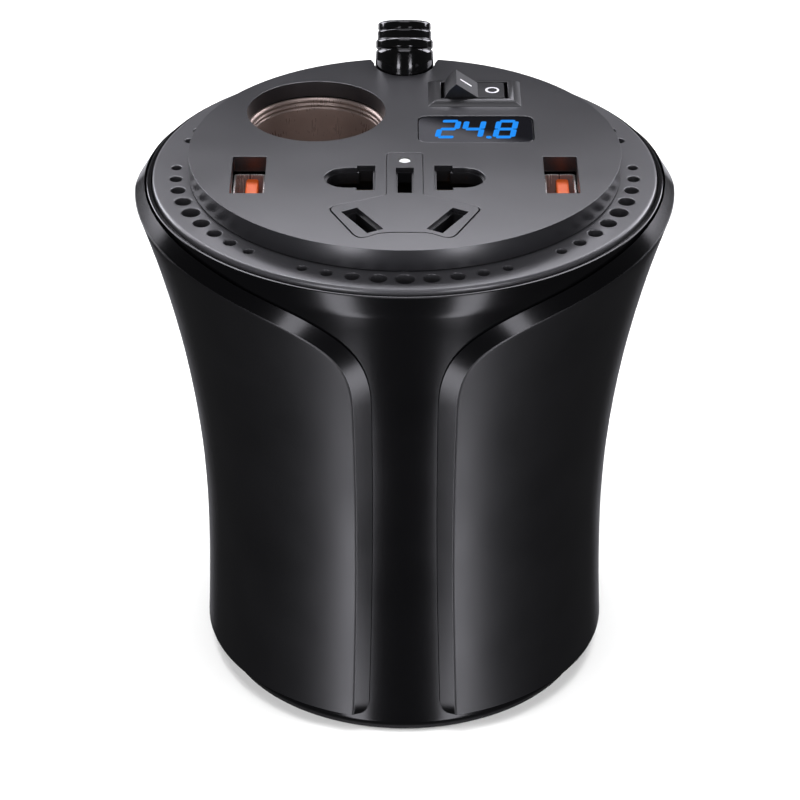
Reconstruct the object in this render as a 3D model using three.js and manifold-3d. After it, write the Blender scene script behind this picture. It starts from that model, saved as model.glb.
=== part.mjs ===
// A cup-shaped vehicle power inverter: a flared two-tone housing with a universal mains socket,
// a lighter socket, two USB ports, a voltmeter, a rocker switch and a ring of vent holes on top.
// Millimetres, +Z up, front towards -Y. The origin is the middle of the foot's underside.
import * as THREE from "three";
import { mergeVertices } from "three/addons/utils/BufferGeometryUtils.js";
import Module from "manifold-3d";

const wasm = await Module();
wasm.setup();

// ---- Driving dimensions -----------------------------------------------------------------------
// Heights are measured from the housing's bottom edge, which stands FOOT_HEIGHT above the table.
const FOOT_HEIGHT = 1;
const GAP = 0.3; // clearance between two pieces that touch

// The housing is waisted: its radius grows with the square of the height from the waist.
const WAIST = { r: 37.6, z: 26, rimFlare: 11.35, baseFlare: 0.8 };
const RIM_Z = 95; // height of the widest line of the side panels
const PANEL = { recess: 2, thickness: 1.7, topR: 47.1, columns: 14 };
const SHELL = { wall: 2.2, rimR: 46.7, rimZ: 97.5, mouthR: 34.2, topBoreR: 45.9, ledgeR: 42.8, ledgeZ: 96 };
const BOSS = { r: 2.8, ringR: 30, top: 16.5, hole: 1.3 };

const BOSS_ANGLES = [90, 210, 330];

const VENT = { outer: 45.6, inner: 36.2, top: 98.3, bottom: 96.4, edge: 0.5 };
const VENT_HOLES = { ringR: 41.34, groups: 5, perGroup: 9, pitch: 6.3, groupPitch: 66 };
const VENT_HOLE_LARGEST = 1.65;
const VENT_HOLE_STEP = 0.19; // each hole is this much smaller than its larger neighbour

const PLATE = { r: 39, top: 102.5, thickness: 3, skirtInner: 36, skirtBottom: 98.6, edge: 0.5 };
const PLATE_UNDER = PLATE.top - PLATE.thickness;
const PLATE_SCREW = { ringR: 37.6, r: 0.7, hole: 1, headR: 1.3, angles: [20, 160, 270] };

const MAINS = {
  rowY: -11.5,
  pin: { from: 5.3, step: 8.5, round: 10.4, halfBlade: 4.8, halfRound: 3.85 },
  earth: { y: -12.55, width: 3.2, length: 9.9 },
  slant: { x: 7.4, y: -27.9, width: 3.2, length: 9.2, angle: 30 },
};
const INSERT_THICKNESS = 2.8;
const CARRIER = { bottom: 85, floor: 88, top: 99.2 };
const LED = { y: -4.5, r: 1.05, clearance: 0.15 };

const USB = { x: 27.8, y: -10.3, mouth: [6, 14.4], shell: [5.7, 13.6], wall: 0.4, top: 99.2, bottom: 87 };
const METER = { x: 13, y: 8.2, width: 21, depth: 10.8, corner: 2 };
const SWITCH = { x: 13, y: 22.95, bezel: [17.4, 10.9], lip: [14.6, 8.6], opening: [12.4, 7], rise: 0.9 };
const ROCKER = { halfLength: 4.65, valley: 2.2, tilt: 17, halfWidth: 3.25, pivotZ: 101.25, pinR: 0.9 };
const LIGHTER = { x: -16.3, y: 15.9, mouthR: 12.75, boreR: 10.6, bottom: 63, top: 99.2 };
const BOOT = { y: 37.3, r: 5.5, boreR: 2.4, baseLean: 12, bandLean: 27, topLean: 30 };

const BASE = { r: 33.9, thickness: 2.6 };
const FOOT = { outer: 35.2, inner: 27.5 };
const BOARD = { r: 32.5, bottom: 17, thickness: 1.6 };
const POST = { r: 2.5, ringR: 27, hole: 1.3 };
const FAN = { size: 40, bottom: 3, height: 10, bore: 18.5, blades: 7, hubR: 8.5 };
const PARTS_Z = BOARD.bottom + BOARD.thickness + 0.2; // what stands on the main board starts here

// ---- Materials --------------------------------------------------------------------------------
const finish = (color, roughness, metalness) =>
  new THREE.MeshStandardMaterial({ color, roughness, metalness });
const shellPlastic = finish(0x16161a, 0.25, 0);
const panelPlastic = finish(0x26262b, 0.35, 0);
const platePlastic = finish(0x4b4b50, 0.45, 0);
const ringPlastic = finish(0x59595e, 0.4, 0);
const darkPlastic = finish(0x121214, 0.5, 0);
const bootRubber = finish(0x0a0a0a, 0.2, 0);
const footRubber = finish(0x0c0c0c, 0.8, 0);
const smokedGlass = finish(0x08080a, 0.08, 0);
const ledWhite = finish(0xf4f4f4, 0.3, 0);
const usbOrange = finish(0xff7a45, 0.5, 0);
const steel = finish(0xb9bcc0, 0.3, 1);
const bronze = finish(0x7c6a5c, 0.35, 1);
const brass = finish(0xc29a4a, 0.35, 1);
const aluminium = finish(0xa8abb0, 0.45, 1);
const boardGreen = finish(0x1e5b3a, 0.5, 0);
const ferrite = finish(0x2d2d2f, 0.7, 0);
const tapeYellow = finish(0xd9a928, 0.5, 0);
const capacitorSleeve = finish(0x1c2c4c, 0.4, 0);
const fuseRed = finish(0xa3201c, 0.35, 0);
const copper = finish(0xb06a3b, 0.4, 1);

// ---- Solid helpers ----------------------------------------------------------------------------
const turn = THREE.MathUtils.degToRad;

// A geometry with shared vertices as a manifold-3d solid, turned right side out if it has to be.
function solid(geometry) {
  const bare = geometry.index ? geometry.toNonIndexed() : geometry.clone();
  bare.deleteAttribute("normal");
  bare.deleteAttribute("uv");
  const merged = mergeVertices(bare, 1e-4);
  const triVerts = Uint32Array.from(merged.index.array);
  const vertProperties = merged.attributes.position.array;
  const make = () => new wasm.Manifold(new wasm.Mesh({ numProp: 3, vertProperties, triVerts }));
  const made = make();
  if (made.volume() > 0) return made;
  for (let i = 0; i < triVerts.length; i += 3) {
    [triVerts[i + 1], triVerts[i + 2]] = [triVerts[i + 2], triVerts[i + 1]];
  }
  return make();
}

function geometryOf(manifold) {
  const { vertProperties, triVerts } = manifold.getMesh();
  const geometry = new THREE.BufferGeometry();
  geometry.setAttribute("position", new THREE.BufferAttribute(new Float32Array(vertProperties), 3));
  geometry.setIndex(new THREE.BufferAttribute(new Uint32Array(triVerts), 1));
  return geometry;
}

const join = (...pieces) => pieces.reduce((whole, piece) => whole.add(piece));
const cut = (whole, ...tools) => tools.reduce((rest, tool) => rest.subtract(tool), whole);

// A box from its lowest corner to its highest.
function box(x0, y0, z0, x1, y1, z1) {
  const geometry = new THREE.BoxGeometry(x1 - x0, y1 - y0, z1 - z0);
  return solid(geometry.translate((x0 + x1) / 2, (y0 + y1) / 2, (z0 + z1) / 2));
}

// A box by its middle, its size across X and Y, and its two heights.
const block = (x, y, width, depth, z0, z1) =>
  box(x - width / 2, y - depth / 2, z0, x + width / 2, y + depth / 2, z1);

function cylinder(x, y, r, z0, z1, sides = 16) {
  const geometry = new THREE.CylinderGeometry(r, r, z1 - z0, sides).rotateX(Math.PI / 2);
  return solid(geometry.translate(x, y, (z0 + z1) / 2));
}

// A solid of revolution about Z from [radius, height] points.
function revolve(points, sides = 48, x = 0, y = 0) {
  const profile = points.map(([r, z]) => new THREE.Vector2(r, z));
  return solid(new THREE.LatheGeometry(profile, sides).rotateX(Math.PI / 2).translate(x, y, 0));
}

// A ring of rectangular section about Z.
const ring = (inner, outer, z0, z1, sides = 32, x = 0, y = 0) =>
  revolve([[inner, z0], [outer, z0], [outer, z1], [inner, z1], [inner, z0]], sides, x, y);

function prism(shape, z0, z1, curveSegments = 4) {
  const options = { depth: z1 - z0, bevelEnabled: false, curveSegments };
  return solid(new THREE.ExtrudeGeometry(shape, options).translate(0, 0, z0));
}

// A box whose top is a smaller rectangle than its bottom.
function frustum(x, y, [bottomWidth, bottomDepth], z0, [topWidth, topDepth], z1) {
  const geometry = new THREE.BoxGeometry(bottomWidth, bottomDepth, z1 - z0);
  const position = geometry.attributes.position;
  for (let i = 0; i < position.count; i += 1) {
    if (position.getZ(i) < 0) continue;
    position.setX(i, (Math.sign(position.getX(i)) * topWidth) / 2);
    position.setY(i, (Math.sign(position.getY(i)) * topDepth) / 2);
  }
  return solid(geometry.translate(x, y, (z0 + z1) / 2));
}

// A closed outline through corner points, each rounded off by its own distance along the sides.
function roundedOutline(corners) {
  const shape = new THREE.Shape();
  corners.forEach(([x, y, rounding], i) => {
    const corner = new THREE.Vector2(x, y);
    const before = new THREE.Vector2(...corners.at(i - 1).slice(0, 2)).sub(corner).setLength(rounding);
    const after = new THREE.Vector2(...corners[(i + 1) % corners.length].slice(0, 2)).sub(corner);
    after.setLength(rounding);
    const start = before.add(corner);
    const end = after.add(corner);
    if (i === 0) shape.moveTo(start.x, start.y);
    else shape.lineTo(start.x, start.y);
    shape.quadraticCurveTo(corner.x, corner.y, end.x, end.y);
  });
  shape.closePath();
  return shape;
}

function roundedRectangle(x, y, width, depth, rounding) {
  const [w, d] = [width / 2, depth / 2];
  const corners = [[x - w, y - d], [x + w, y - d], [x + w, y + d], [x - w, y + d]];
  return roundedOutline(corners.map((corner) => [...corner, rounding]));
}

// A closed skin between two point grids: the last row of each may shrink to one point.
function skinSolid(outer, inner) {
  const rows = outer.length;
  const columns = outer[0].length;
  const positions = [];
  const triangle = (a, b, c) => {
    if (a.equals(b) || b.equals(c) || c.equals(a)) return;
    positions.push(...a.toArray(), ...b.toArray(), ...c.toArray());
  };
  // Each four-sided cell is split along its shorter diagonal, which keeps the skin round.
  const quad = (a, b, c, d) => {
    const [p, q, r, s] = a.distanceTo(c) <= b.distanceTo(d) ? [a, b, c, d] : [b, c, d, a];
    triangle(p, q, r);
    triangle(p, r, s);
  };
  for (let r = 0; r + 1 < rows; r += 1) {
    for (let c = 0; c + 1 < columns; c += 1) {
      quad(outer[r][c], outer[r][c + 1], outer[r + 1][c + 1], outer[r + 1][c]);
      quad(inner[r][c], inner[r + 1][c], inner[r + 1][c + 1], inner[r][c + 1]);
    }
    quad(inner[r][0], outer[r][0], outer[r + 1][0], inner[r + 1][0]);
    const last = columns - 1;
    quad(outer[r][last], inner[r][last], inner[r + 1][last], outer[r + 1][last]);
  }
  for (let c = 0; c + 1 < columns; c += 1) {
    quad(inner[0][c], inner[0][c + 1], outer[0][c + 1], outer[0][c]);
  }
  const geometry = new THREE.BufferGeometry();
  geometry.setAttribute("position", new THREE.Float32BufferAttribute(positions, 3));
  return solid(geometry);
}

const inverter = new THREE.Group();
const housing = new THREE.Group();
housing.position.z = FOOT_HEIGHT;
inverter.add(housing);

function add(name, manifold, material) {
  const mesh = new THREE.Mesh(geometryOf(manifold), material);
  mesh.name = name;
  housing.add(mesh);
}

const atAngle = (radius, degrees) => [radius * Math.cos(turn(degrees)), radius * Math.sin(turn(degrees))];

// ---- Housing ----------------------------------------------------------------------------------
function panelRadius(z) {
  if (z >= WAIST.z) return WAIST.r + WAIST.rimFlare * ((z - WAIST.z) / (RIM_Z - WAIST.z)) ** 2;
  return WAIST.r + WAIST.baseFlare * ((WAIST.z - z) / WAIST.z) ** 2;
}

const shellRadius = (z) => Math.min(panelRadius(z) - PANEL.recess, SHELL.rimR);

// The footprint that the cable boot needs where it passes through the plate and the vent ring.
function bootPassage(r, z0, z1) {
  const slot = roundedOutline([
    [-r - 1.5, BOOT.y + 3.6, 0.1],
    [-r, BOOT.y - 0.4, 0.4],
    [r, BOOT.y - 0.4, 0.4],
    [r + 1.5, BOOT.y + 3.6, 0.1],
  ]);
  return join(prism(slot, z0, z1, 1), cylinder(0, BOOT.y - 0.4, r, z0, z1, 24));
}

function bodyShell() {
  const heights = [2, 14, 26, 40, 54, 66, 77, 86, 94.4];
  const outside = heights.map((z) => [shellRadius(z), z]);
  const inside = [86, 66, 40, 14].map((z) => [shellRadius(z) - SHELL.wall, z]);
  const wall = revolve([
    [SHELL.mouthR, 0],
    [shellRadius(0) - 0.7, 0],
    [shellRadius(0) - 0.2, 0.5],
    ...outside,
    [SHELL.rimR, SHELL.rimZ - 0.3],
    [SHELL.rimR - 0.3, SHELL.rimZ],
    [SHELL.topBoreR, SHELL.rimZ],
    [SHELL.topBoreR, SHELL.ledgeZ],
    [SHELL.ledgeR, SHELL.ledgeZ],
    [SHELL.ledgeR, SHELL.ledgeZ - 1.6],
    ...inside,
    [SHELL.mouthR, 3],
    [SHELL.mouthR, 0],
  ], 40);
  const bosses = BOSS_ANGLES.map((degrees) => {
    const [x, y] = atAngle(BOSS.ringR, degrees);
    const rib = solid(
      new THREE.BoxGeometry(4.4, 3, BOSS.top - 3)
        .translate(BOSS.ringR + 2.3, 0, (BOSS.top + 3) / 2)
        .rotateZ(turn(degrees)),
    );
    return cut(join(cylinder(x, y, BOSS.r, 3, BOSS.top), rib), cylinder(x, y, BOSS.hole, 2, 14, 12));
  });
  return join(wall, ...bosses);
}

// One row of a panel: the angle from the front and the height, for its main face and for its back.
const panelRow = (main, back) => ({
  main: { angle: main[0], z: main[1] },
  back: { angle: back[0], z: back[1] },
});

// The panel's front edge from the bottom corner, up the straight and round the sweep to the side.
function panelRows() {
  const bottom = { angle: 10.5, z: 2.7, round: 3, roundAngle: 4, mainAngle: 14.5, mainZ: 3.5 };
  const shoulder = { angle: 8.2, z: 73, mainAngle: 12.4 };
  const rows = [];
  for (let i = 0; i < 3; i += 1) {
    const swing = (i / 3) * (Math.PI / 2);
    const back = [
      bottom.angle + bottom.roundAngle * (1 - Math.sin(swing)),
      bottom.z + bottom.round * (1 - Math.cos(swing)),
    ];
    rows.push(panelRow([bottom.mainAngle, bottom.mainZ + bottom.round * (1 - Math.cos(swing))], back));
  }
  const straight = 6;
  const straightFrom = bottom.z + bottom.round;
  for (let i = 0; i < straight; i += 1) {
    const k = i / straight;
    const z = THREE.MathUtils.lerp(straightFrom, shoulder.z, k);
    const main = [THREE.MathUtils.lerp(bottom.mainAngle, shoulder.mainAngle, k), z + 0.8 * (1 - k)];
    rows.push(panelRow(main, [THREE.MathUtils.lerp(bottom.angle, shoulder.angle, k), z]));
  }
  const point = (angle, z) => new THREE.Vector2(angle, z);
  const backSweep = new THREE.CubicBezierCurve(
    point(shoulder.angle, shoulder.z), point(shoulder.angle, 89), point(20, 97.2), point(90, 97.4));
  const mainSweep = new THREE.CubicBezierCurve(
    point(shoulder.mainAngle, shoulder.z), point(shoulder.mainAngle, 88), point(22, 92.3), point(90, RIM_Z));
  const sweepSteps = 12;
  for (let i = 0; i <= sweepSteps; i += 1) {
    const t = Math.sin(((i / sweepSteps) * Math.PI) / 2);
    rows.push(panelRow(mainSweep.getPoint(t).toArray(), backSweep.getPoint(t).toArray()));
  }
  return rows;
}

// The two panels are mirror images, and each is the same towards the front and the back.
function sidePanel(side) {
  const line = ({ angle, z }, radius) =>
    Array.from({ length: PANEL.columns + 1 }, (unused, c) => {
      const swing = turn(angle > 89.999 ? 90 : THREE.MathUtils.lerp(angle, 180 - angle, c / PANEL.columns));
      return new THREE.Vector3(side * radius * Math.sin(swing), -radius * Math.cos(swing), z);
    });
  const rows = panelRows();
  const outer = rows.map(({ main }) => line(main, panelRadius(main.z)));
  const inner = rows.map(({ back }) => {
    const radius = Math.min(panelRadius(back.z) - PANEL.thickness, PANEL.topR);
    return line(back, radius);
  });
  return skinSolid(outer, inner);
}

function ventRing() {
  const { outer, inner, top, bottom, edge } = VENT;
  const body = revolve([
    [inner, bottom], [outer, bottom], [outer, top - edge], [outer - edge, top], [inner, top], [inner, bottom],
  ], 40);
  const holes = [];
  const middle = (VENT_HOLES.perGroup - 1) / 2;
  for (let group = 0; group < VENT_HOLES.groups; group += 1) {
    const groupAngle = -90 + VENT_HOLES.groupPitch * (group - (VENT_HOLES.groups - 1) / 2);
    for (let i = 0; i < VENT_HOLES.perGroup; i += 1) {
      const [x, y] = atAngle(VENT_HOLES.ringR, groupAngle + VENT_HOLES.pitch * (i - middle));
      const r = VENT_HOLE_LARGEST - VENT_HOLE_STEP * Math.abs(i - middle);
      holes.push(cylinder(x, y, r, bottom - 1, top + 1, 6));
    }
  }
  return cut(body, ...holes, bootPassage(6, bottom - 1, top + 1), ...plateScrewBores(bottom - 1, top + 1));
}

const plateScrewBores = (z0, z1) =>
  PLATE_SCREW.angles.map((degrees) => {
    const [x, y] = atAngle(PLATE_SCREW.ringR, degrees);
    return cylinder(x, y, PLATE_SCREW.hole, z0, z1, 10);
  });

// ---- Top plate and its openings ---------------------------------------------------------------
// A mains pin opening: a flat blade slot that runs outwards into a round-ended one.
function pinOpening(side, clearance = 0) {
  const { from, step, round, halfBlade, halfRound } = MAINS.pin;
  const shape = new THREE.Shape();
  shape.moveTo(from - clearance, -halfBlade - clearance);
  shape.lineTo(step + clearance, -halfBlade - clearance);
  shape.lineTo(step + clearance, -halfRound - clearance);
  shape.lineTo(round, -halfRound - clearance);
  shape.absarc(round, 0, halfRound + clearance, -Math.PI / 2, Math.PI / 2, false);
  shape.lineTo(step + clearance, halfRound + clearance);
  shape.lineTo(step + clearance, halfBlade + clearance);
  shape.lineTo(from - clearance, halfBlade + clearance);
  shape.closePath();
  const opening = prism(shape, PLATE_UNDER - 2, PLATE.top + 1, 6);
  return (side > 0 ? opening : opening.rotate([0, 0, 180])).translate([0, MAINS.rowY, 0]);
}

const slantedBox = (side, width, length, z0, z1) => {
  const { x, y, angle } = MAINS.slant;
  const upright = solid(new THREE.BoxGeometry(width, length, z1 - z0));
  return upright.rotate([0, 0, -side * angle]).translate([side * x, y, (z0 + z1) / 2]);
};

function insertOutline(shrink) {
  const right = [
    [3.25, -1.5, 1.2], [3.25, -18.3, 0.8], [13.6, -23, 1.8], [8, -35.2, 2.4], [4.4, -32.4, 2],
  ];
  const left = right.map(([x, y, rounding]) => [-x, y, rounding]).reverse();
  const inset = ([x, y, rounding]) => {
    const scale = 1 - shrink / 8;
    return [x * scale, -17 + (y + 17) * (1 - shrink / 16), rounding];
  };
  return roundedOutline([...right, ...left].map(shrink ? inset : (corner) => corner));
}

function topPlate() {
  const { r, top, skirtInner, skirtBottom, edge } = PLATE;
  const cap = revolve([
    [0, PLATE_UNDER], [skirtInner, PLATE_UNDER], [skirtInner, skirtBottom], [r, skirtBottom],
    [r, top - edge], [r - edge, top], [0, top],
  ]);
  const low = PLATE_UNDER - 2;
  const high = top + 1;
  const openings = [
    cylinder(LIGHTER.x, LIGHTER.y, LIGHTER.mouthR, low, high, 24),
    pinOpening(-1),
    pinOpening(1),
    prism(insertOutline(0), low, high),
    block(-USB.x, USB.y, ...USB.mouth, low, high),
    block(USB.x, USB.y, ...USB.mouth, low, high),
    prism(roundedRectangle(METER.x, METER.y, METER.width + GAP, METER.depth + GAP, METER.corner), low, high),
    block(SWITCH.x, SWITCH.y, SWITCH.lip[0] - 0.2, SWITCH.lip[1], low, high),
    bootPassage(5.75, skirtBottom - 1, high),
    ...plateScrewBores(skirtBottom - 1, top - 1),
  ];
  return cut(cap, ...openings);
}

function plateScrew(degrees) {
  const [x, y] = atAngle(PLATE_SCREW.ringR, degrees);
  const head = cylinder(x, y, PLATE_SCREW.headR, VENT.bottom - 1.2, VENT.bottom - 0.1, 10);
  return join(head, cylinder(x, y, PLATE_SCREW.r, VENT.bottom - 0.5, PLATE.top - 1.4, 8));
}

function socketInsert() {
  const body = prism(insertOutline(0.3), PLATE.top - INSERT_THICKNESS, PLATE.top);
  const { earth, slant } = MAINS;
  const low = PLATE.top - INSERT_THICKNESS - 1;
  const high = PLATE.top + 1;
  const slots = [-1, 1].map((side) => slantedBox(side, slant.width, slant.length, low, high));
  const earthSlot = block(0, earth.y, earth.width, earth.length, low, high);
  const ledHole = cylinder(0, LED.y, LED.r + LED.clearance, low, high);
  return cut(body, earthSlot, ledHole, ...slots);
}

const powerLed = () => cylinder(0, LED.y, LED.r, CARRIER.top + 0.3, PLATE.top);

// ---- Mains socket below the plate -------------------------------------------------------------
const TAIL = { width: 1, depth: 3, bottom: 81 };
const tailSlot = (x, y) =>
  block(x, y, TAIL.width + 2 * GAP, TAIL.depth + 2 * GAP, CARRIER.bottom - 1, CARRIER.floor + 1);
const tail = (x, y) => block(x, y, TAIL.width, TAIL.depth, TAIL.bottom, CARRIER.floor + 0.8);
const PIN_CONTACT_X = 9;
const POCKET = { pin: [10, 10.2, 9.9], earth: [4.4, 11.4], slant: [4.4, 10.6] };

function mainsCarrier() {
  const outline = roundedOutline([
    [-16.5, -2, 2], [-16.5, -19, 2], [-14, -26.5, 2], [-8.5, -34.2, 2],
    [8.5, -34.2, 2], [14, -26.5, 2], [16.5, -19, 2], [16.5, -2, 2],
  ]);
  const { floor, top } = CARRIER;
  const { earth, slant } = MAINS;
  const [pinWidth, pinDepth, pinX] = POCKET.pin;
  const pockets = [
    block(-pinX, MAINS.rowY, pinWidth, pinDepth, floor, top + 1),
    block(pinX, MAINS.rowY, pinWidth, pinDepth, floor, top + 1),
    block(0, earth.y, ...POCKET.earth, floor, top + 1),
    slantedBox(-1, ...POCKET.slant, floor, top + 1),
    slantedBox(1, ...POCKET.slant, floor, top + 1),
    tailSlot(-PIN_CONTACT_X, MAINS.rowY), tailSlot(PIN_CONTACT_X, MAINS.rowY), tailSlot(0, earth.y),
    tailSlot(-slant.x, slant.y), tailSlot(slant.x, slant.y),
  ];
  return cut(prism(outline, CARRIER.bottom, top), ...pockets);
}

// A springy contact bent to a channel, open upwards, with a blade-like tail below the carrier.
function channel(width, length, leaf) {
  const [z0, z1] = [CARRIER.floor + 0.3, CARRIER.top - 1.2];
  const outside = block(0, 0, width, length, z0, z1);
  return cut(outside, block(0, 0, width - 2 * leaf, length + 2, z0 + leaf, z1 + 1));
}

function pinContact(side) {
  const leaves = channel(8.4, 7.4, 0.6).rotate([0, 0, 90]);
  const x = side * PIN_CONTACT_X;
  return join(leaves.translate([x, MAINS.rowY, 0]), tail(x, MAINS.rowY));
}

const earthContact = () =>
  join(channel(3.8, 9.4, 0.4).translate([0, MAINS.earth.y, 0]), tail(0, MAINS.earth.y));

function slantContact(side) {
  const { x, y, angle } = MAINS.slant;
  const leaves = channel(3.8, 9.4, 0.4).rotate([0, 0, -side * angle]);
  return join(leaves.translate([side * x, y, 0]), tail(side * x, y));
}

// ---- USB ports --------------------------------------------------------------------------------
function usbShell(side) {
  const [width, depth] = USB.shell;
  const x = side * USB.x;
  const tube = block(x, USB.y, width, depth, USB.bottom, USB.top);
  return cut(tube, block(x, USB.y, width - 2 * USB.wall, depth - 2 * USB.wall, USB.bottom - 1, USB.top + 1));
}

function usbTongue(side) {
  const x = side * USB.x;
  const root = block(x, USB.y, 4.3, 12.2, USB.bottom + 0.2, USB.bottom + 2.2);
  return join(root, block(x + 0.45, USB.y, 2.3, 11.1, USB.bottom + 1, USB.top - 0.3));
}

const usbBoard = (side) => block(side * USB.x, USB.y, 9, 18, USB.bottom - 1.8, USB.bottom - 0.3);

// ---- Voltmeter --------------------------------------------------------------------------------
function meterWindow() {
  const outline = roundedRectangle(METER.x, METER.y, METER.width, METER.depth, METER.corner);
  return prism(outline, PLATE.top - 1.5, PLATE.top - 0.15);
}

const meterModule = () => block(METER.x, METER.y, 20, 9.6, PLATE.top - 7.3, PLATE.top - 1.8);
const meterBoard = () => block(METER.x, METER.y, 24, 13, PLATE.top - 9, PLATE.top - 7.6);

// ---- Rocker switch ----------------------------------------------------------------------------
const SWITCH_BODY = { size: [14, 8.3], bottom: 91.5, cavityBottom: 94 };

function switchHousing() {
  const { x, y, bezel, lip, opening, rise } = SWITCH;
  const flange = frustum(x, y, bezel, PLATE.top, lip, PLATE.top + rise);
  const body = block(x, y, ...SWITCH_BODY.size, SWITCH_BODY.bottom, PLATE.top + 0.2);
  const cavity = block(x, y, ...opening, SWITCH_BODY.cavityBottom, PLATE.top + 2);
  const pivot = solid(new THREE.CylinderGeometry(ROCKER.pinR + 0.12, ROCKER.pinR + 0.12, 12, 16));
  const terminals = [-4, 4].map((offset) =>
    block(x + offset, y, 1.4, 5.2, SWITCH_BODY.bottom - 1, SWITCH_BODY.cavityBottom + 1));
  return cut(join(flange, body), cavity, pivot.translate([x, y, ROCKER.pivotZ]), ...terminals);
}

// The rocker rests with its right half pressed in; both halves rise from the valley between them.
function switchRocker() {
  const { halfLength, valley, tilt, halfWidth, pinR } = ROCKER;
  const endHeight = valley + halfLength * Math.tan(turn(tilt));
  const endR = Math.hypot(halfLength, endHeight);
  const endAngle = Math.atan2(endHeight, halfLength);
  const rightEnd = [];
  for (let i = 0; i <= 5; i += 1) {
    const swing = THREE.MathUtils.lerp(endAngle, turn(-18), i / 5);
    rightEnd.push(new THREE.Vector2(endR * Math.cos(swing), endR * Math.sin(swing)));
  }
  const leftEnd = rightEnd.map(({ x, y }) => new THREE.Vector2(-x, y)).reverse();
  const keel = [new THREE.Vector2(3, -3), new THREE.Vector2(-3, -3)];
  const outline = new THREE.Shape([new THREE.Vector2(0, valley), ...rightEnd, ...keel, ...leftEnd]);
  const options = { depth: 2 * halfWidth, bevelEnabled: false };
  const extruded = new THREE.ExtrudeGeometry(outline, options);
  const body = solid(extruded.translate(0, 0, -halfWidth).rotateX(Math.PI / 2));
  const pivots = solid(new THREE.CylinderGeometry(pinR, pinR, 2 * (halfWidth + 0.75), 16));
  return join(body, pivots).rotate([0, tilt, 0]).translate([SWITCH.x, SWITCH.y, ROCKER.pivotZ]);
}

const switchTerminal = (offset) =>
  block(SWITCH.x + offset, SWITCH.y, 0.8, 4.6, 85, SWITCH_BODY.cavityBottom + 0.8);

// ---- Lighter socket ---------------------------------------------------------------------------
// A pressed metal barrel with two rolled beads at its mouth and a lead-in to the standard bore.
function lighterBarrel() {
  const { boreR, bottom, top } = LIGHTER;
  const leadIn = [[boreR, bottom + 0.6], [boreR, 82], [12, 97.2]];
  const beads = [[12.25, 97.5], [12, 97.9], [12.35, 98.3], [12.15, 98.8], [12.5, top]];
  const outside = [[13.1, top], [13.1, 98], [12.7, 97], [11.3, 82], [11.3, bottom]];
  const end = [[7, bottom], [7, bottom + 0.6]];
  return revolve([...leadIn, ...beads, ...outside, ...end, leadIn[0]], 24, LIGHTER.x, LIGHTER.y);
}

function lighterHousing() {
  const wall = [[12.1, 76], [14.6, 76], [14.6, 95.5], [13.1, 95.5], [12.1, 82], [12.1, 76]];
  return revolve(wall, 20, LIGHTER.x, LIGHTER.y);
}

function lighterInsulator() {
  const { x, y, bottom } = LIGHTER;
  const disc = ring(1.9, 10.2, bottom + 0.9, bottom + 2.7, 20, x, y);
  return join(disc, ring(1.9, 6.6, bottom - 2, bottom + 1.5, 20, x, y));
}

function lighterContact() {
  const { x, y, bottom } = LIGHTER;
  const profile = [[0, 3], [3.4, 3], [3.4, 4], [2.2, 5], [0, 5]];
  const button = revolve(profile.map(([radius, z]) => [radius, bottom + z]), 20, x, y);
  return join(button, cylinder(x, y, 1.5, bottom - 5, bottom + 3.5, 12));
}

// ---- Cable boot -------------------------------------------------------------------------------
// A flexible strain relief that bends back as it rises, in three bands, with a bore for the cable.
function cableBoot() {
  const flange = [[-9, 6.2], [-6.9, 6.2], [-6.6, 5], [-3.6, 5], [-3, BOOT.r], [0.2, BOOT.r]];
  const lowBands = [[2.3, 5.4], [2.4, 5.2], [2.55, 5.4], [4, 5.4], [4.15, 5.05], [5.8, 5.05]];
  const tip = [[5.9, 4.9], [6.05, 5], [7.3, 4.95], [7.6, 4.6]];
  const sections = [...flange, ...lowBands, ...tip];
  const sides = 16;
  const lean = (s) => {
    if (s <= 0) return BOOT.baseLean;
    const { baseLean, bandLean, topLean } = BOOT;
    if (s < 2.4) return THREE.MathUtils.lerp(baseLean, bandLean, s / 2.4);
    return THREE.MathUtils.mapLinear(s, 2.4, 7.6, bandLean, topLean);
  };
  const step = 0.1;
  const middle = (s) => {
    const at = new THREE.Vector3(0, BOOT.y, PLATE.top);
    const sign = Math.sign(s);
    for (let done = 0; done < Math.abs(s) - 1e-9; done += step) {
      const slope = turn(lean(sign * (done + step / 2)));
      at.add(new THREE.Vector3(0, sign * step * Math.sin(slope), sign * step * Math.cos(slope)));
    }
    return at;
  };
  const loop = (s, r) => {
    const slope = turn(lean(s));
    return Array.from({ length: sides + 1 }, (unused, i) => {
      const around = ((i % sides) / sides) * 2 * Math.PI;
      const [along, aside] = [Math.cos(around), Math.sin(around)];
      const across = new THREE.Vector3(along, aside * Math.cos(slope), -aside * Math.sin(slope));
      return middle(s).addScaledVector(across, r);
    });
  };
  const rings = [
    ...sections.map(([s, r]) => loop(s, r)),
    ...[7.6, 5, 2.4, 0.2, -9].map((s) => loop(s, BOOT.boreR)),
  ];
  const positions = [];
  rings.forEach((lower, r) => {
    const upper = rings[(r + 1) % rings.length];
    for (let i = 0; i < sides; i += 1) {
      const corners = [lower[i], lower[i + 1], upper[i + 1], lower[i], upper[i + 1], upper[i]];
      corners.forEach((corner) => positions.push(...corner.toArray()));
    }
  });
  const geometry = new THREE.BufferGeometry();
  geometry.setAttribute("position", new THREE.Float32BufferAttribute(positions, 3));
  return solid(geometry);
}

// ---- Base and foot ----------------------------------------------------------------------------
const POST_ANGLES = [30, 150, 270];
const FAN_PEG = 16;

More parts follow.
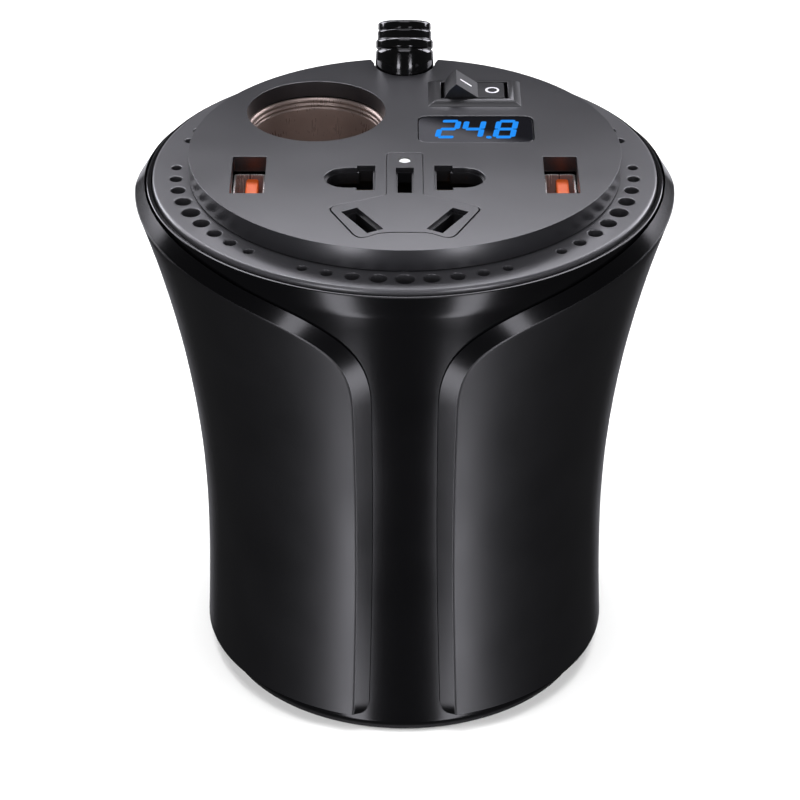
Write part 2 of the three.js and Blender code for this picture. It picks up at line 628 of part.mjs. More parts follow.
function baseCover() {
  const slots = Array.from({ length: 8 }, (unused, i) =>
    solid(new THREE.BoxGeometry(10, 3, 10).translate(13.5, 0, 0).rotateZ(turn((i + 0.5) * 45))));
  const screwHoles = BOSS_ANGLES.flatMap((degrees) => {
    const [x, y] = atAngle(BOSS.ringR, degrees);
    return [cylinder(x, y, 2.9, -1, 1.4, 16), cylinder(x, y, 1.4, -1, 4, 12)];
  });
  const posts = POST_ANGLES.map((degrees) => {
    const [x, y] = atAngle(POST.ringR, degrees);
    const post = cylinder(x, y, POST.r, 1, BOARD.bottom - 0.1, 12);
    return cut(post, cylinder(x, y, POST.hole, 9, BOARD.bottom + 1, 10));
  });
  const pegs = [-1, 1].flatMap((i) => [-1, 1].map((j) => cylinder(i * FAN_PEG, j * FAN_PEG, 1.3, 1, 8, 8)));
  return join(cut(cylinder(0, 0, BASE.r, 0, BASE.thickness, 48), ...slots, ...screwHoles), ...posts, ...pegs);
}

function baseScrew(degrees) {
  const [x, y] = atAngle(BOSS.ringR, degrees);
  return join(cylinder(x, y, 2.5, 0.1, 1.3, 16), cylinder(x, y, 1, 0.8, 12, 10));
}

function boardScrew(degrees) {
  const [x, y] = atAngle(POST.ringR, degrees);
  return join(cylinder(x, y, 2.2, PARTS_Z, PARTS_Z + 1.2, 12), cylinder(x, y, 0.95, 10, PARTS_Z + 0.5, 8));
}

// ---- Electronics ------------------------------------------------------------------------------
const mainBoard = () =>
  cut(
    cylinder(0, 0, BOARD.r, BOARD.bottom, BOARD.bottom + BOARD.thickness, 40),
    ...POST_ANGLES.map((degrees) => cylinder(...atAngle(POST.ringR, degrees), 1.4, 10, 25, 10)));

const TRANSFORMER = { y: -15, width: 30, depth: 10, z0: 22, z1: 48, leg: 8, window: [27, 43] };

function transformerCore() {
  const { y, width, depth, z0, z1, leg, window } = TRANSFORMER;
  const windowWidth = 6;
  const windowX = leg / 2 + windowWidth / 2;
  const windows = [-1, 1].map((side) => block(side * windowX, y, windowWidth, depth + 2, ...window));
  return cut(block(0, y, width, depth, z0, z1), ...windows);
}

function transformerWinding() {
  const { y, leg, depth, window } = TRANSFORMER;
  const outer = roundedRectangle(0, y, 19.2, 22, 5);
  const inner = block(0, y, leg + 0.8, depth + 0.8, window[0] - 1, window[1] + 1);
  return cut(prism(outer, window[0] + 0.4, window[1] - 0.4), inner);
}

const transformerBase = () => block(0, TRANSFORMER.y, 24, 18, PARTS_Z, TRANSFORMER.z0 - 0.3);

const capacitor = (x, y, r, height) =>
  revolve([
    [0, PARTS_Z], [r, PARTS_Z], [r, PARTS_Z + 2], [r - 0.5, PARTS_Z + 2.6], [r, PARTS_Z + 3.2],
    [r, PARTS_Z + height - 0.6], [r - 0.6, PARTS_Z + height], [0, PARTS_Z + height],
  ], 16, x, y);

const SINK = { x: 24.9, depth: 3, y0: -13, y1: 10, z1: 52, fins: 5 };

function heatSink(side) {
  const { x, depth, y0, y1, z1, fins } = SINK;
  const base = box(x, y0, PARTS_Z, x + depth, y1, z1);
  const pitch = (y1 - y0 - 5) / (fins - 1);
  const rows = Array.from({ length: fins }, (unused, i) => {
    const y = y0 + 2.5 + i * pitch;
    return box(x + 1, y - 0.6, PARTS_Z, x + depth + 2.4, y + 0.6, z1);
  });
  const sink = join(base, ...rows);
  return side > 0 ? sink : sink.mirror([1, 0, 0]);
}

function powerTransistor(side, y) {
  const face = SINK.x - 0.3;
  const body = box(face - 4.5, y - 5, PARTS_Z + 5, face, y + 5, PARTS_Z + 14);
  const tab = box(face - 1.3, y - 5, PARTS_Z + 13, face, y + 5, PARTS_Z + 20);
  const legs = [-2.5, 0, 2.5].map((offset) =>
    box(face - 2.7, y + offset - 0.4, PARTS_Z, face - 2, y + offset + 0.4, PARTS_Z + 6));
  const transistor = join(body, tab, ...legs);
  return side > 0 ? transistor : transistor.mirror([1, 0, 0]);
}

const driverBoard = () => box(17, -24, PARTS_Z, 18.4, -6, 46);

function bladeFuse() {
  const holder = block(0, -0.3, 19, 5.2, PARTS_Z, PARTS_Z + 8);
  return join(holder, frustum(0, -0.3, [15, 3.4], PARTS_Z + 7, [17.5, 4.4], PARTS_Z + 14));
}

// ---- Cooling fan ------------------------------------------------------------------------------
function fanFrame() {
  const { size, bottom, height, bore, hubR } = FAN;
  const top = bottom + height;
  const holes = [-1, 1].flatMap((i) =>
    [-1, 1].map((j) => cylinder(i * FAN_PEG, j * FAN_PEG, 1.8, bottom - 1, top + 1, 8)));
  const duct = cylinder(0, 0, bore, bottom - 1, top + 1, 24);
  const casing = cut(block(0, 0, size, size, bottom, top), duct, ...holes);
  const struts = [20, 140, 260].map((degrees) => {
    const strut = new THREE.BoxGeometry(bore - 5, 1.6, 1.2).translate((bore + 6) / 2, 0, bottom + 0.6);
    return solid(strut.rotateZ(turn(degrees)));
  });
  const disc = cylinder(0, 0, hubR, bottom, bottom + 1.2, 24);
  const hub = join(disc, cylinder(0, 0, 2.4, bottom, bottom + 7, 16));
  return cut(join(casing, ...struts, hub), cylinder(0, 0, 1.15, bottom + 0.6, bottom + 8, 12));
}

const fanStator = () => ring(2.7, 6.6, FAN.bottom + 1.6, FAN.bottom + 6.4, 20);

function fanRotor() {
  const { bottom, height, hubR, blades } = FAN;
  const top = bottom + height - 0.6;
  const cup = cut(
    cylinder(0, 0, hubR, bottom + 2, top, 24), cylinder(0, 0, hubR - 1.1, bottom + 1, top - 1.4, 24));
  const shaft = cylinder(0, 0, 0.8, bottom + 1, top - 0.5, 12);
  const vanes = Array.from({ length: blades }, (unused, i) =>
    solid(
      new THREE.BoxGeometry(9.6, 1, 8)
        .rotateX(turn(42))
        .translate(hubR + 4.2, 0, bottom + 5.4)
        .rotateZ((i / blades) * 2 * Math.PI)));
  return join(cup, shaft, ...vanes);
}

// ---- Assembly ---------------------------------------------------------------------------------
add("foot_ring", ring(FOOT.inner, FOOT.outer, -FOOT_HEIGHT, 0, 40), footRubber);
add("base_cover", baseCover(), darkPlastic);
BOSS_ANGLES.forEach((degrees, i) => add(`base_screw_${i + 1}`, baseScrew(degrees), steel));
add("body_shell", bodyShell(), shellPlastic);
add("side_panel_left", sidePanel(-1), panelPlastic);
add("side_panel_right", sidePanel(1), panelPlastic);

add("vent_ring", ventRing(), ringPlastic);
add("top_plate", topPlate(), platePlastic);
PLATE_SCREW.angles.forEach((degrees, i) => add(`plate_screw_${i + 1}`, plateScrew(degrees), steel));
add("cable_boot", cableBoot(), bootRubber);

add("socket_insert", socketInsert(), platePlastic);
add("power_led", powerLed(), ledWhite);
add("mains_carrier", mainsCarrier(), darkPlastic);
add("mains_contact_left", pinContact(-1), brass);
add("mains_contact_right", pinContact(1), brass);
add("mains_contact_earth", earthContact(), brass);
add("slant_contact_left", slantContact(-1), brass);
add("slant_contact_right", slantContact(1), brass);

for (const [word, side] of [["left", -1], ["right", 1]]) {
  add(`usb_shell_${word}`, usbShell(side), steel);
  add(`usb_tongue_${word}`, usbTongue(side), usbOrange);
  add(`usb_board_${word}`, usbBoard(side), boardGreen);
}

add("meter_window", meterWindow(), smokedGlass);
add("meter_module", meterModule(), darkPlastic);
add("meter_board", meterBoard(), boardGreen);

add("switch_housing", switchHousing(), darkPlastic);
add("switch_rocker", switchRocker(), darkPlastic);
add("switch_terminal_1", switchTerminal(-4), brass);
add("switch_terminal_2", switchTerminal(4), brass);

add("lighter_barrel", lighterBarrel(), bronze);
add("lighter_housing", lighterHousing(), darkPlastic);
add("lighter_insulator", lighterInsulator(), darkPlastic);
add("lighter_contact", lighterContact(), brass);

add("main_board", mainBoard(), boardGreen);
POST_ANGLES.forEach((degrees, i) => add(`board_screw_${i + 1}`, boardScrew(degrees), steel));
add("driver_board", driverBoard(), boardGreen);
add("transformer_core", transformerCore(), ferrite);
add("transformer_winding", transformerWinding(), tapeYellow);
add("transformer_base", transformerBase(), darkPlastic);
add("capacitor_1", capacitor(-11, 11, 7.8, 25), capacitorSleeve);
add("capacitor_2", capacitor(8.5, 12, 7.8, 25), capacitorSleeve);
add("capacitor_3", capacitor(0, 25, 5.5, 21), capacitorSleeve);
add("blade_fuse", bladeFuse(), fuseRed);
add("heat_sink_left", heatSink(-1), aluminium);
add("heat_sink_right", heatSink(1), aluminium);
[[-1, -8], [-1, 4], [1, -8], [1, 4]].forEach(([side, y], i) =>
  add(`power_transistor_${i + 1}`, powerTransistor(side, y), darkPlastic));

add("fan_frame", fanFrame(), darkPlastic);
add("fan_stator", fanStator(), copper);
add("fan_rotor", fanRotor(), darkPlastic);

export default inverter;
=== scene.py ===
"""The looks of a cup-shaped vehicle power inverter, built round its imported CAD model."""

import logging
import math
from collections.abc import Callable, Sequence
from dataclasses import dataclass
from enum import Enum

import bpy
from mathutils import Matrix, Vector

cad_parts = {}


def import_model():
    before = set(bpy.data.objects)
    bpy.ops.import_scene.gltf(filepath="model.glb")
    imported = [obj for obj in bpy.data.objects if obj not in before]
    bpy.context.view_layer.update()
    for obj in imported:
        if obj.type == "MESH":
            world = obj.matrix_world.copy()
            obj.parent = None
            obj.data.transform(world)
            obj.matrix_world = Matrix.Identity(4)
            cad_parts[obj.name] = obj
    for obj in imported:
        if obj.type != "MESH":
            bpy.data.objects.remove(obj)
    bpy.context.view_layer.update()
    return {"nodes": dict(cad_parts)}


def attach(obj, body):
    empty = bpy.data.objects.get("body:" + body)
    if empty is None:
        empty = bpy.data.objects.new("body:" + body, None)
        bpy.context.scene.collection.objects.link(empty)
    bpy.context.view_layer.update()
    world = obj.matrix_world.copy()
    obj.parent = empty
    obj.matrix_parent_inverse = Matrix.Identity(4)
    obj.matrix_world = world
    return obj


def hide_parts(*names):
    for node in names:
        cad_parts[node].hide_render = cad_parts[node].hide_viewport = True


log = logging.getLogger("inverter")

MM = 0.001  # metres in a millimetre: sizes below are in millimetres
FOOT_HEIGHT = 1.0  # heights are measured from the shell's bottom edge, this far above the table
WELD = 1e-6  # vertices closer than this, in metres, are one
HOUSING, ROCKER = "housing", "rocker"  # the CAD bodies that new pieces ride on
DEEP_BLACK = (0.01, 0.01, 0.01)  # the body colour of the lit pieces
COOL_LIGHT = (0.93, 0.92, 1.0)  # the colour of the lamps that light the inverter
SHARP = 40  # degrees: only edges sharper than this are rounded off
SLACK = 0.01  # mm: edges this close below a top face count as its own
SPARE = 1.0  # mm that a cutting tool stands out beyond what it cuts

Piece = bpy.types.Object
Point = tuple[float, float]
Corner = tuple[float, float, float]
Colour = tuple[float, float, float]


def place(x: float, y: float, z: float) -> Vector:
    """A point in metres from one in millimetres above the shell's bottom edge."""
    return Vector((x, y, z + FOOT_HEIGHT)) * MM


# ---- Outlines -----------------------------------------------------------------------------------
def rounded(corners: Sequence[Corner], steps: int = 4) -> list[Point]:
    """Rounds off the corners of a closed outline.

    Args:
        corners: (x, y, rounding) of each corner, where rounding is how far its curve reaches.
        steps: How many straight pieces stand for each curve.

    Returns:
        The outline's points in order.
    """
    outline: list[Point] = []
    for index, (x, y, rounding) in enumerate(corners):
        if not rounding:
            outline.append((x, y))
            continue
        corner = Vector((x, y))
        before = corner + (Vector(corners[index - 1][:2]) - corner).normalized() * rounding
        after = corner + (Vector(corners[(index + 1) % len(corners)][:2]) - corner).normalized() * rounding
        for step in range(steps + 1):
            t = step / steps
            bend = before * (1 - t) ** 2 + corner * 2 * t * (1 - t) + after * t**2
            outline.append((bend.x, bend.y))
    return outline


def rectangle(x: float, y: float, width: float, depth: float, rounding: float = 0.0) -> list[Point]:
    """A rectangle round a middle point, with its corners rounded off."""
    w, d = width / 2, depth / 2
    return rounded([(x + i * w, y + j * d, rounding) for i, j in ((-1, -1), (1, -1), (1, 1), (-1, 1))])


def arc(x: float, y: float, radius: float, start: float, end: float, steps: int) -> list[Point]:
    """Points along a circular arc between two angles in degrees."""
    angles = [math.radians(start + (end - start) * i / steps) for i in range(steps + 1)]
    return [(x + radius * math.cos(a), y + radius * math.sin(a)) for a in angles]


def turned(outline: Sequence[Point], degrees: float, x: float, y: float) -> list[Point]:
    """An outline turned about its own zero and then moved to a place."""
    c, s = math.cos(math.radians(degrees)), math.sin(math.radians(degrees))
    return [(x + c * u - s * v, y + s * u + c * v) for u, v in outline]


def mirrored(outline: Sequence[Point]) -> list[Point]:
    """An outline on the other side of the middle, in the same direction of travel."""
    return [(-x, y) for x, y in reversed(outline)]


def bezier(points: Sequence[Point], t: float) -> Point:
    """A point on a cubic curve with four control points."""
    weights = ((1 - t) ** 3, 3 * t * (1 - t) ** 2, 3 * t**2 * (1 - t), t**3)
    return (sum(w * p[0] for w, p in zip(weights, points)), sum(w * p[1] for w, p in zip(weights, points)))


# ---- Modelling ----------------------------------------------------------------------------------
def above(height: float) -> Callable[[Vector, Vector], bool]:
    """A test for the edges that lie wholly above a height in millimetres."""
    return lambda start, end: min(start.z, end.z) > height


class Bench:
    """The modelling moves that the pieces are made with."""

    @staticmethod
    def take(*pieces: Piece) -> Piece:
        """Selects these pieces and nothing else, and returns the first."""
        bpy.ops.object.select_all(action="DESELECT")
        for piece in pieces:
            piece.select_set(True)
        bpy.context.view_layer.objects.active = pieces[0]
        return pieces[0]

    @staticmethod
    def named(name: str) -> Piece:
        """Gives the piece just made its name, with its place in its mesh."""
        bpy.ops.object.transform_apply(location=True, rotation=True, scale=True)
        piece = bpy.context.active_object
        piece.name = piece.data.name = name
        return piece

    @staticmethod
    def push(offset: Sequence[float]) -> None:
        """Extrudes what is selected in edit mode by an offset in metres."""
        bpy.ops.mesh.extrude_region_move(TRANSFORM_OT_translate={"value": offset})

    @staticmethod
    def close() -> None:
        """Welds the mesh in edit mode, turns its faces outwards and leaves edit mode."""
        bpy.ops.mesh.select_all(action="SELECT")
        bpy.ops.mesh.remove_doubles(threshold=WELD)
        bpy.ops.mesh.normals_make_consistent(inside=False)
        bpy.ops.object.mode_set(mode="OBJECT")

    @classmethod
    def trace(cls, name: str, points: Sequence[Vector]) -> Piece:
        """Draws a line of edges and leaves it selected in edit mode.

        Args:
            name: The new piece's name.
            points: Where the line goes, in metres. It closes if it ends where it starts.

        Returns:
            The new piece.
        """
        bpy.ops.object.select_all(action="DESELECT")
        bpy.ops.mesh.primitive_plane_add(size=MM, location=points[0])
        piece = cls.named(name)
        bpy.ops.object.mode_set(mode="EDIT")
        bpy.ops.mesh.select_mode(type="VERT")
        bpy.ops.mesh.select_all(action="SELECT")
        bpy.ops.mesh.merge(type="CENTER")
        for start, end in zip(points, points[1:]):
            cls.push(end - start)
        bpy.ops.mesh.select_all(action="SELECT")
        bpy.ops.mesh.remove_doubles(threshold=WELD)
        return piece

    @classmethod
    def lathe(
        cls, name: str, profile: Sequence[Point], steps: int = 128, centre: Point = (0.0, 0.0)
    ) -> Piece:
        """Turns a profile into a solid of revolution.

        Args:
            name: The new piece's name.
            profile: (radius, height) points, from axis to axis, or round to the first one again.
            steps: How many faces go round.
            centre: Where the upright axis stands.

        Returns:
            The closed piece.
        """
        x, y = centre
        piece = cls.trace(name, [place(x + radius, y, z) for radius, z in profile])
        bpy.ops.mesh.spin(steps=steps, angle=math.tau, center=place(x, y, 0), axis=(0, 0, 1))
        cls.close()
        return piece

    @classmethod
    def slab(cls, name: str, outline: Sequence[Point], low: float, high: float) -> Piece:
        """An outline extruded upwards between two heights."""
        piece = cls.trace(name, [place(x, y, low) for x, y in [*outline, outline[0]]])
        bpy.ops.mesh.edge_face_add()
        cls.push((0, 0, (high - low) * MM))
        cls.close()
        return piece

    @classmethod
    def stepped(
        cls, name: str, outline: Sequence[Point], heights: tuple[float, float, float], step: float
    ) -> Piece:
        """A tool that cuts an opening with a ledge below its mouth.

        Args:
            name: The tool's name.
            outline: The mouth of the opening.
            heights: The tool's top, the ledge and the tool's bottom.
            step: The width of the ledge.

        Returns:
            The tool.
        """
        high, ledge, low = heights
        tool = cls.trace(name, [place(x, y, high) for x, y in [*outline, outline[0]]])
        bpy.ops.mesh.edge_face_add()
        cls.push((0, 0, (ledge - high) * MM))
        bpy.ops.mesh.inset(thickness=step * MM)
        cls.push((0, 0, (low - ledge) * MM))
        cls.close()
        return tool

    @classmethod
    def disc(cls, name: str, centre: Point, radius: float, low: float, high: float, sides: int = 32) -> Piece:
        """An upright cylinder, as a blank or a cutting tool."""
        bpy.ops.object.select_all(action="DESELECT")
        location = place(*centre, (low + high) / 2)
        depth = (high - low) * MM
        bpy.ops.mesh.primitive_cylinder_add(
            vertices=sides, radius=radius * MM, depth=depth, location=location
        )
        return cls.named(name)

    @classmethod
    def copy(cls, piece: Piece, name: str, matrix: Matrix) -> Piece:
        """A copy with its own mesh, moved by a matrix, with its faces outwards again."""
        cls.take(piece)
        bpy.ops.object.duplicate()
        made = bpy.context.active_object
        made.matrix_world = matrix
        cls.named(name)
        if matrix.determinant() < 0:
            bpy.ops.object.mode_set(mode="EDIT")
            cls.close()
        return made

    @classmethod
    def join(cls, name: str, pieces: Sequence[Piece]) -> Piece:
        """Makes one piece of several that don't touch."""
        cls.take(*pieces)
        if len(pieces) > 1:
            bpy.ops.object.join()
        return cls.named(name)

    @classmethod
    def modify(cls, piece: Piece, kind: str, **settings: object) -> None:
        """Adds a modifier with its settings and applies it."""
        cls.take(piece)
        modifier = piece.modifiers.new(kind.title(), kind)
        for setting, value in settings.items():
            setattr(modifier, setting, value)
        bpy.ops.object.modifier_apply(modifier=modifier.name)

    @classmethod
    def carve(cls, piece: Piece, tools: Sequence[Piece], operation: str = "DIFFERENCE") -> None:
        """Cuts tools that don't touch each other out of a piece, or adds them to it."""
        tool = cls.join("tool", tools)
        cls.modify(piece, "BOOLEAN", operation=operation, solver="EXACT", object=tool)
        bpy.data.objects.remove(tool)

    @classmethod
    def soften(
        cls, piece: Piece, chosen: Callable[[Vector, Vector], bool], width: float, segments: int = 2
    ) -> None:
        """Rounds off sharp edges.

        Args:
            piece: The piece to work on.
            chosen: Tells from an edge's two ends, in millimetres, whether it is rounded.
            width: How far the rounding reaches.
            segments: How many faces go across it.
        """
        cls.take(piece)
        bpy.ops.object.mode_set(mode="EDIT")
        bpy.ops.mesh.select_mode(type="EDGE")
        bpy.ops.mesh.select_all(action="DESELECT")
        bpy.ops.mesh.edges_select_sharp(sharpness=math.radians(SHARP))
        bpy.ops.object.mode_set(mode="OBJECT")
        foot = Vector((0, 0, FOOT_HEIGHT))
        vertices = piece.data.vertices
        picked = []
        for edge in piece.data.edges:
            start, end = (vertices[i].co / MM - foot for i in edge.vertices)
            if edge.select and chosen(start, end):
                picked.append(edge.index)
        bpy.ops.object.mode_set(mode="EDIT")
        bpy.ops.mesh.select_all(action="DESELECT")
        bpy.ops.object.mode_set(mode="OBJECT")
        for index in picked:
            piece.data.edges[index].select = True
        bpy.ops.object.mode_set(mode="EDIT")
        bpy.ops.mesh.bevel(offset=width * MM, segments=segments, affect="EDGES", clamp_overlap=True)
        bpy.ops.object.mode_set(mode="OBJECT")

    @classmethod
    def smooth(cls, piece: Piece, angle: float = 32.0) -> None:
        """Shades a piece smooth apart from its real edges, with its flat faces kept flat."""
        cls.take(piece)
        bpy.ops.object.shade_smooth_by_angle(angle=math.radians(angle))
        cls.modify(piece, "WEIGHTED_NORMAL", keep_sharp=True)


# ---- Shading ------------------------------------------------------------------------------------
class Wire:
    """A node's output that takes part in arithmetic: each operator adds its Math node."""

    def __init__(self, recipe: "Recipe", socket: bpy.types.NodeSocket) -> None:
        """Keeps the socket and the recipe that it belongs to."""
        self.recipe = recipe
        self.socket = socket

    def _math(self, operation: str, left: object, right: object) -> "Wire":
        """The result of one Math node."""
        return self.recipe.node("ShaderNodeMath", {"operation": operation}, {0: left, 1: right})

    def __add__(self, other: object) -> "Wire":
        """Sum."""
        return self._math("ADD", self, other)

    def __sub__(self, other: object) -> "Wire":
        """Difference."""
        return self._math("SUBTRACT", self, other)

    def __rsub__(self, other: object) -> "Wire":
        """Difference, the other way round."""
        return self._math("SUBTRACT", other, self)

    def __mul__(self, other: object) -> "Wire":
        """Product."""
        return self._math("MULTIPLY", self, other)

    __radd__ = __add__
    __rmul__ = __mul__

    def __mod__(self, other: object) -> "Wire":
        """Remainder."""
        return self._math("FLOORED_MODULO", self, other)

    def __lt__(self, other: object) -> "Wire":
        """One where this is less than the other, and zero elsewhere."""
        return self._math("LESS_THAN", self, other)


class Recipe:
    """A material that is being put together from nodes."""

    def __init__(self, name: str) -> None:
        """Starts an empty material."""
        self.material = bpy.data.materials.new(name)
        self.material.use_nodes = True
        self.material.node_tree.nodes.clear()

    def node(self, kind: str, settings: dict, inputs: dict, output: int | str = 0) -> Wire:
        """Adds a node.

        Args:
            kind: The node's type.
            settings: Its own properties.
            inputs: Values or wires of its sockets, by name or number.
            output: The output that the wire comes from.

        Returns:
            The wire from that output.
        """
        made = self.material.node_tree.nodes.new(kind)
        for name, value in settings.items():
            setattr(made, name, value)
        for name, value in inputs.items():
            if isinstance(value, Wire):
                self.material.node_tree.links.new(value.socket, made.inputs[name])
            else:
                made.inputs[name].default_value = value
        return Wire(self, made.outputs[output])

    def spot(self, centre: Sequence[float] = (0, 0, 0), scale: Sequence[float] = (1, 1, 1)) -> Wire:
        """Where a point is on the piece, in metres, moved and scaled by a Mapping node."""
        spot = self.node("ShaderNodeTexCoord", {}, {}, "Object")
        back = Vector([-c * s for c, s in zip(centre, scale)])
        return self.node("ShaderNodeMapping", {}, {"Vector": spot, "Location": back, "Scale": scale})

    def split(self, vector: Wire) -> tuple[Wire, Wire, Wire]:
        """The three parts of a vector."""
        parts = self.node("ShaderNodeSeparateXYZ", {}, {0: vector})
        return parts, Wire(self, parts.socket.node.outputs[1]), Wire(self, parts.socket.node.outputs[2])

    def noise(self, vector: Wire, scale: float, detail: float = 2.0) -> Wire:
        """Smooth noise between about 0.3 and 0.7, with its scale in lumps a metre."""
        return self.node("ShaderNodeTexNoise", {}, {"Vector": vector, "Scale": scale, "Detail": detail}, 0)

    def blend(self, share: object, first: object, second: object) -> Wire:
        """A mix of two colours, each a wire or a colour."""
        inputs = {0: share, 6: self.paint(first), 7: self.paint(second)}
        return self.node("ShaderNodeMix", {"data_type": "RGBA"}, inputs, 2)

    @staticmethod
    def paint(colour: object) -> object:
        """A colour with its fourth number, or a wire as it is."""
        return colour if isinstance(colour, Wire) else (*colour, 1)

    def bump(self, height: Wire, depth: float) -> Wire:
        """A surface that rises and sinks by a depth in millimetres as height goes from 0 to 1."""
        return self.node("ShaderNodeBump", {}, {"Strength": 1.0, "Distance": depth * MM, "Height": height})

    def finish(self, **sockets: object) -> bpy.types.Material:
        """Ends the material with its one surface shader.

        Args:
            sockets: The shader's inputs by name, with _ for a space.

        Returns:
            The finished material.
        """
        inputs = {name.replace("_", " "): value for name, value in sockets.items()}
        for name in ("Base Color", "Emission Color"):
            if name in inputs:
                inputs[name] = self.paint(inputs[name])
        surface = self.node("ShaderNodeBsdfPrincipled", {}, inputs)
        output = self.material.node_tree.nodes.new("ShaderNodeOutputMaterial")
        self.material.node_tree.links.new(surface.socket, output.inputs["Surface"])
        return self.material


@dataclass(frozen=True)
class Moulded:
    """Moulded plastic or rubber: a fine grain, and a faint broad unevenness of tone and gloss."""

    name: str
    colour: Colour
    roughness: float
    specular: float = 0.5
    grain: float = 0.3  # mm across one grain
    depth: float = 0.006  # mm
    tone: float = 0.12  # how far the tone wanders, as a share
    gloss: float = 0.06  # how far the roughness wanders
    patch: float = 14.0  # mm across one patch of the broad unevenness

    def material(self) -> bpy.types.Material:
        """Builds the plastic."""
        recipe = Recipe(self.name)
        spot = recipe.spot()
        fine = recipe.noise(spot, 1 / (self.grain * MM), 3)
        broad = recipe.noise(spot, 1 / (self.patch * MM), 2)
        darker, lighter = (tuple(c * (1 + i * self.tone) for c in self.colour) for i in (-1, 1))
        return recipe.finish(
            Base_Color=recipe.blend(broad * 0.7 + fine * 0.3, darker, lighter),
            Roughness=(fine * 0.5 + broad - 0.75) * (4 * self.gloss) + self.roughness,
            Specular_IOR_Level=self.specular,
            Normal=recipe.bump(fine, self.depth),
        )


@dataclass(frozen=True)
class Metal:
    """Drawn or rolled metal: fine streaks along one way, and a faint mottle of tarnish."""

    name: str
    colour: Colour
    tarnish: Colour
    roughness: float
    streak: tuple[float, float, float] = (1.0, 1.0, 0.06)  # how dense the streaks are along X, Y and Z
    depth: float = 0.004  # mm
    metallic: float = 1.0  # lower where a lacquer or oxide scatters the light
    scratch: float = 0.25  # mm across one streak
    patch: float = 3.0  # mm across one patch of tarnish

    def material(self) -> bpy.types.Material:
        """Builds the metal."""
        recipe = Recipe(self.name)
        streaks = recipe.noise(recipe.spot(scale=self.streak), 1 / (self.scratch * MM), 3)
        mottle = recipe.noise(recipe.spot(), 1 / (self.patch * MM), 4)
        return recipe.finish(
            Base_Color=recipe.blend(mottle * 1.6 - 0.3, self.colour, self.tarnish),
            Roughness=(streaks + mottle - 1) * 0.35 + self.roughness,
            Metallic=self.metallic,
            Normal=recipe.bump(streaks, self.depth),
        )


@dataclass(frozen=True)
class Glow:
    """A lit segment or light pipe: a dark body that gives its own, faintly uneven light."""

    name: str
    colour: Colour
    hot: Colour
    strength: float
    roughness: float = 0.35
    patch: float = 0.6  # mm across one patch of the unevenness

    def material(self) -> bpy.types.Material:
        """Builds the lit plastic."""
        recipe = Recipe(self.name)
        uneven = recipe.noise(recipe.spot(), 1 / (self.patch * MM), 1)
        light = recipe.blend(uneven, self.colour, self.hot)
        return recipe.finish(
            Base_Color=DEEP_BLACK,
            Roughness=self.roughness,
            Specular_IOR_Level=0.0,
            Emission_Color=light,
            Emission_Strength=self.strength,
        )


@dataclass(frozen=True)
class SmokedWindow:
    """A glossy smoked window with a painted sheen: a grey reflection painted into its colour over its lower
    left part.
    """

    name: str = "smoked_glass_finish"
    dark: Colour = (0.004, 0.004, 0.006)
    # the colour of the painted sheen, a grey reflection painted over the window's lower left part
    painted_sheen: Colour = (0.085, 0.085, 0.09)
    middle: Point = (13.0, 8.2)
    slant: float = 0.55  # how steeply the painted sheen's edge runs down to the right
    sheen_fade: Point = (-4.4, 1.8)  # mm above the middle where the painted sheen starts to fade and where it ends
    patch: float = 0.35  # mm across one patch of the unevenness

    def material(self) -> bpy.types.Material:
        """Builds the window, with its painted sheen in the base colour."""
        recipe = Recipe(self.name)
        x, y, _ = recipe.split(recipe.spot((self.middle[0] * MM, self.middle[1] * MM, 0)))
        start, end = (height * MM for height in self.sheen_fade)
        # share is the painted sheen's mask: 1 over the lower left part, fading to 0 across a slanted edge
        share = recipe.node(
            "ShaderNodeMapRange",
            {"interpolation_type": "SMOOTHSTEP"},
            {"Value": x * self.slant + y, "From Min": start, "From Max": end, "To Min": 1, "To Max": 0},
        )
        mottle = recipe.noise(recipe.spot(), 1 / (self.patch * MM), 2)
        # the painted sheen's colour, darker in patches
        painted_sheen = recipe.blend(mottle, self.painted_sheen, tuple(c * 0.8 for c in self.painted_sheen))
        return recipe.finish(Base_Color=recipe.blend(share, self.dark, painted_sheen), Roughness=mottle * 0.1 + 0.08)


@dataclass(frozen=True)
class Board:
    """A circuit board: green resist with raised copper tracks and tinned pads."""

    name: str = "board_green_finish"
    resist: Colour = (0.012, 0.09, 0.035)
    track: Colour = (0.03, 0.19, 0.07)
    pad: Colour = (0.55, 0.52, 0.45)
    track_pitch: float = 4.0  # mm
    pad_pitch: float = 3.0  # mm
    raised: float = 0.03  # mm that the tracks and pads stand out

    def material(self) -> bpy.types.Material:
        """Builds the board."""
        recipe = Recipe(self.name)
        spot = recipe.spot()
        bricks = {"Vector": spot, "Scale": 1 / (self.track_pitch * MM), "Mortar Size": 0.035}
        black = {"Color1": (0, 0, 0, 1), "Color2": (0, 0, 0, 1)}
        tracks = recipe.node("ShaderNodeTexBrick", {}, {**bricks, **black}, "Fac")
        cells = {"Vector": spot, "Scale": 1 / (self.pad_pitch * MM)}
        dots = recipe.node("ShaderNodeTexVoronoi", {}, cells, "Distance")
        pads = dots < 0.16
        copper = recipe.blend(tracks, self.resist, self.track)
        return recipe.finish(
            Base_Color=recipe.blend(pads, copper, self.pad),
            Roughness=pads * -0.15 + 0.42,
            Normal=recipe.bump(tracks + pads, self.raised),
        )


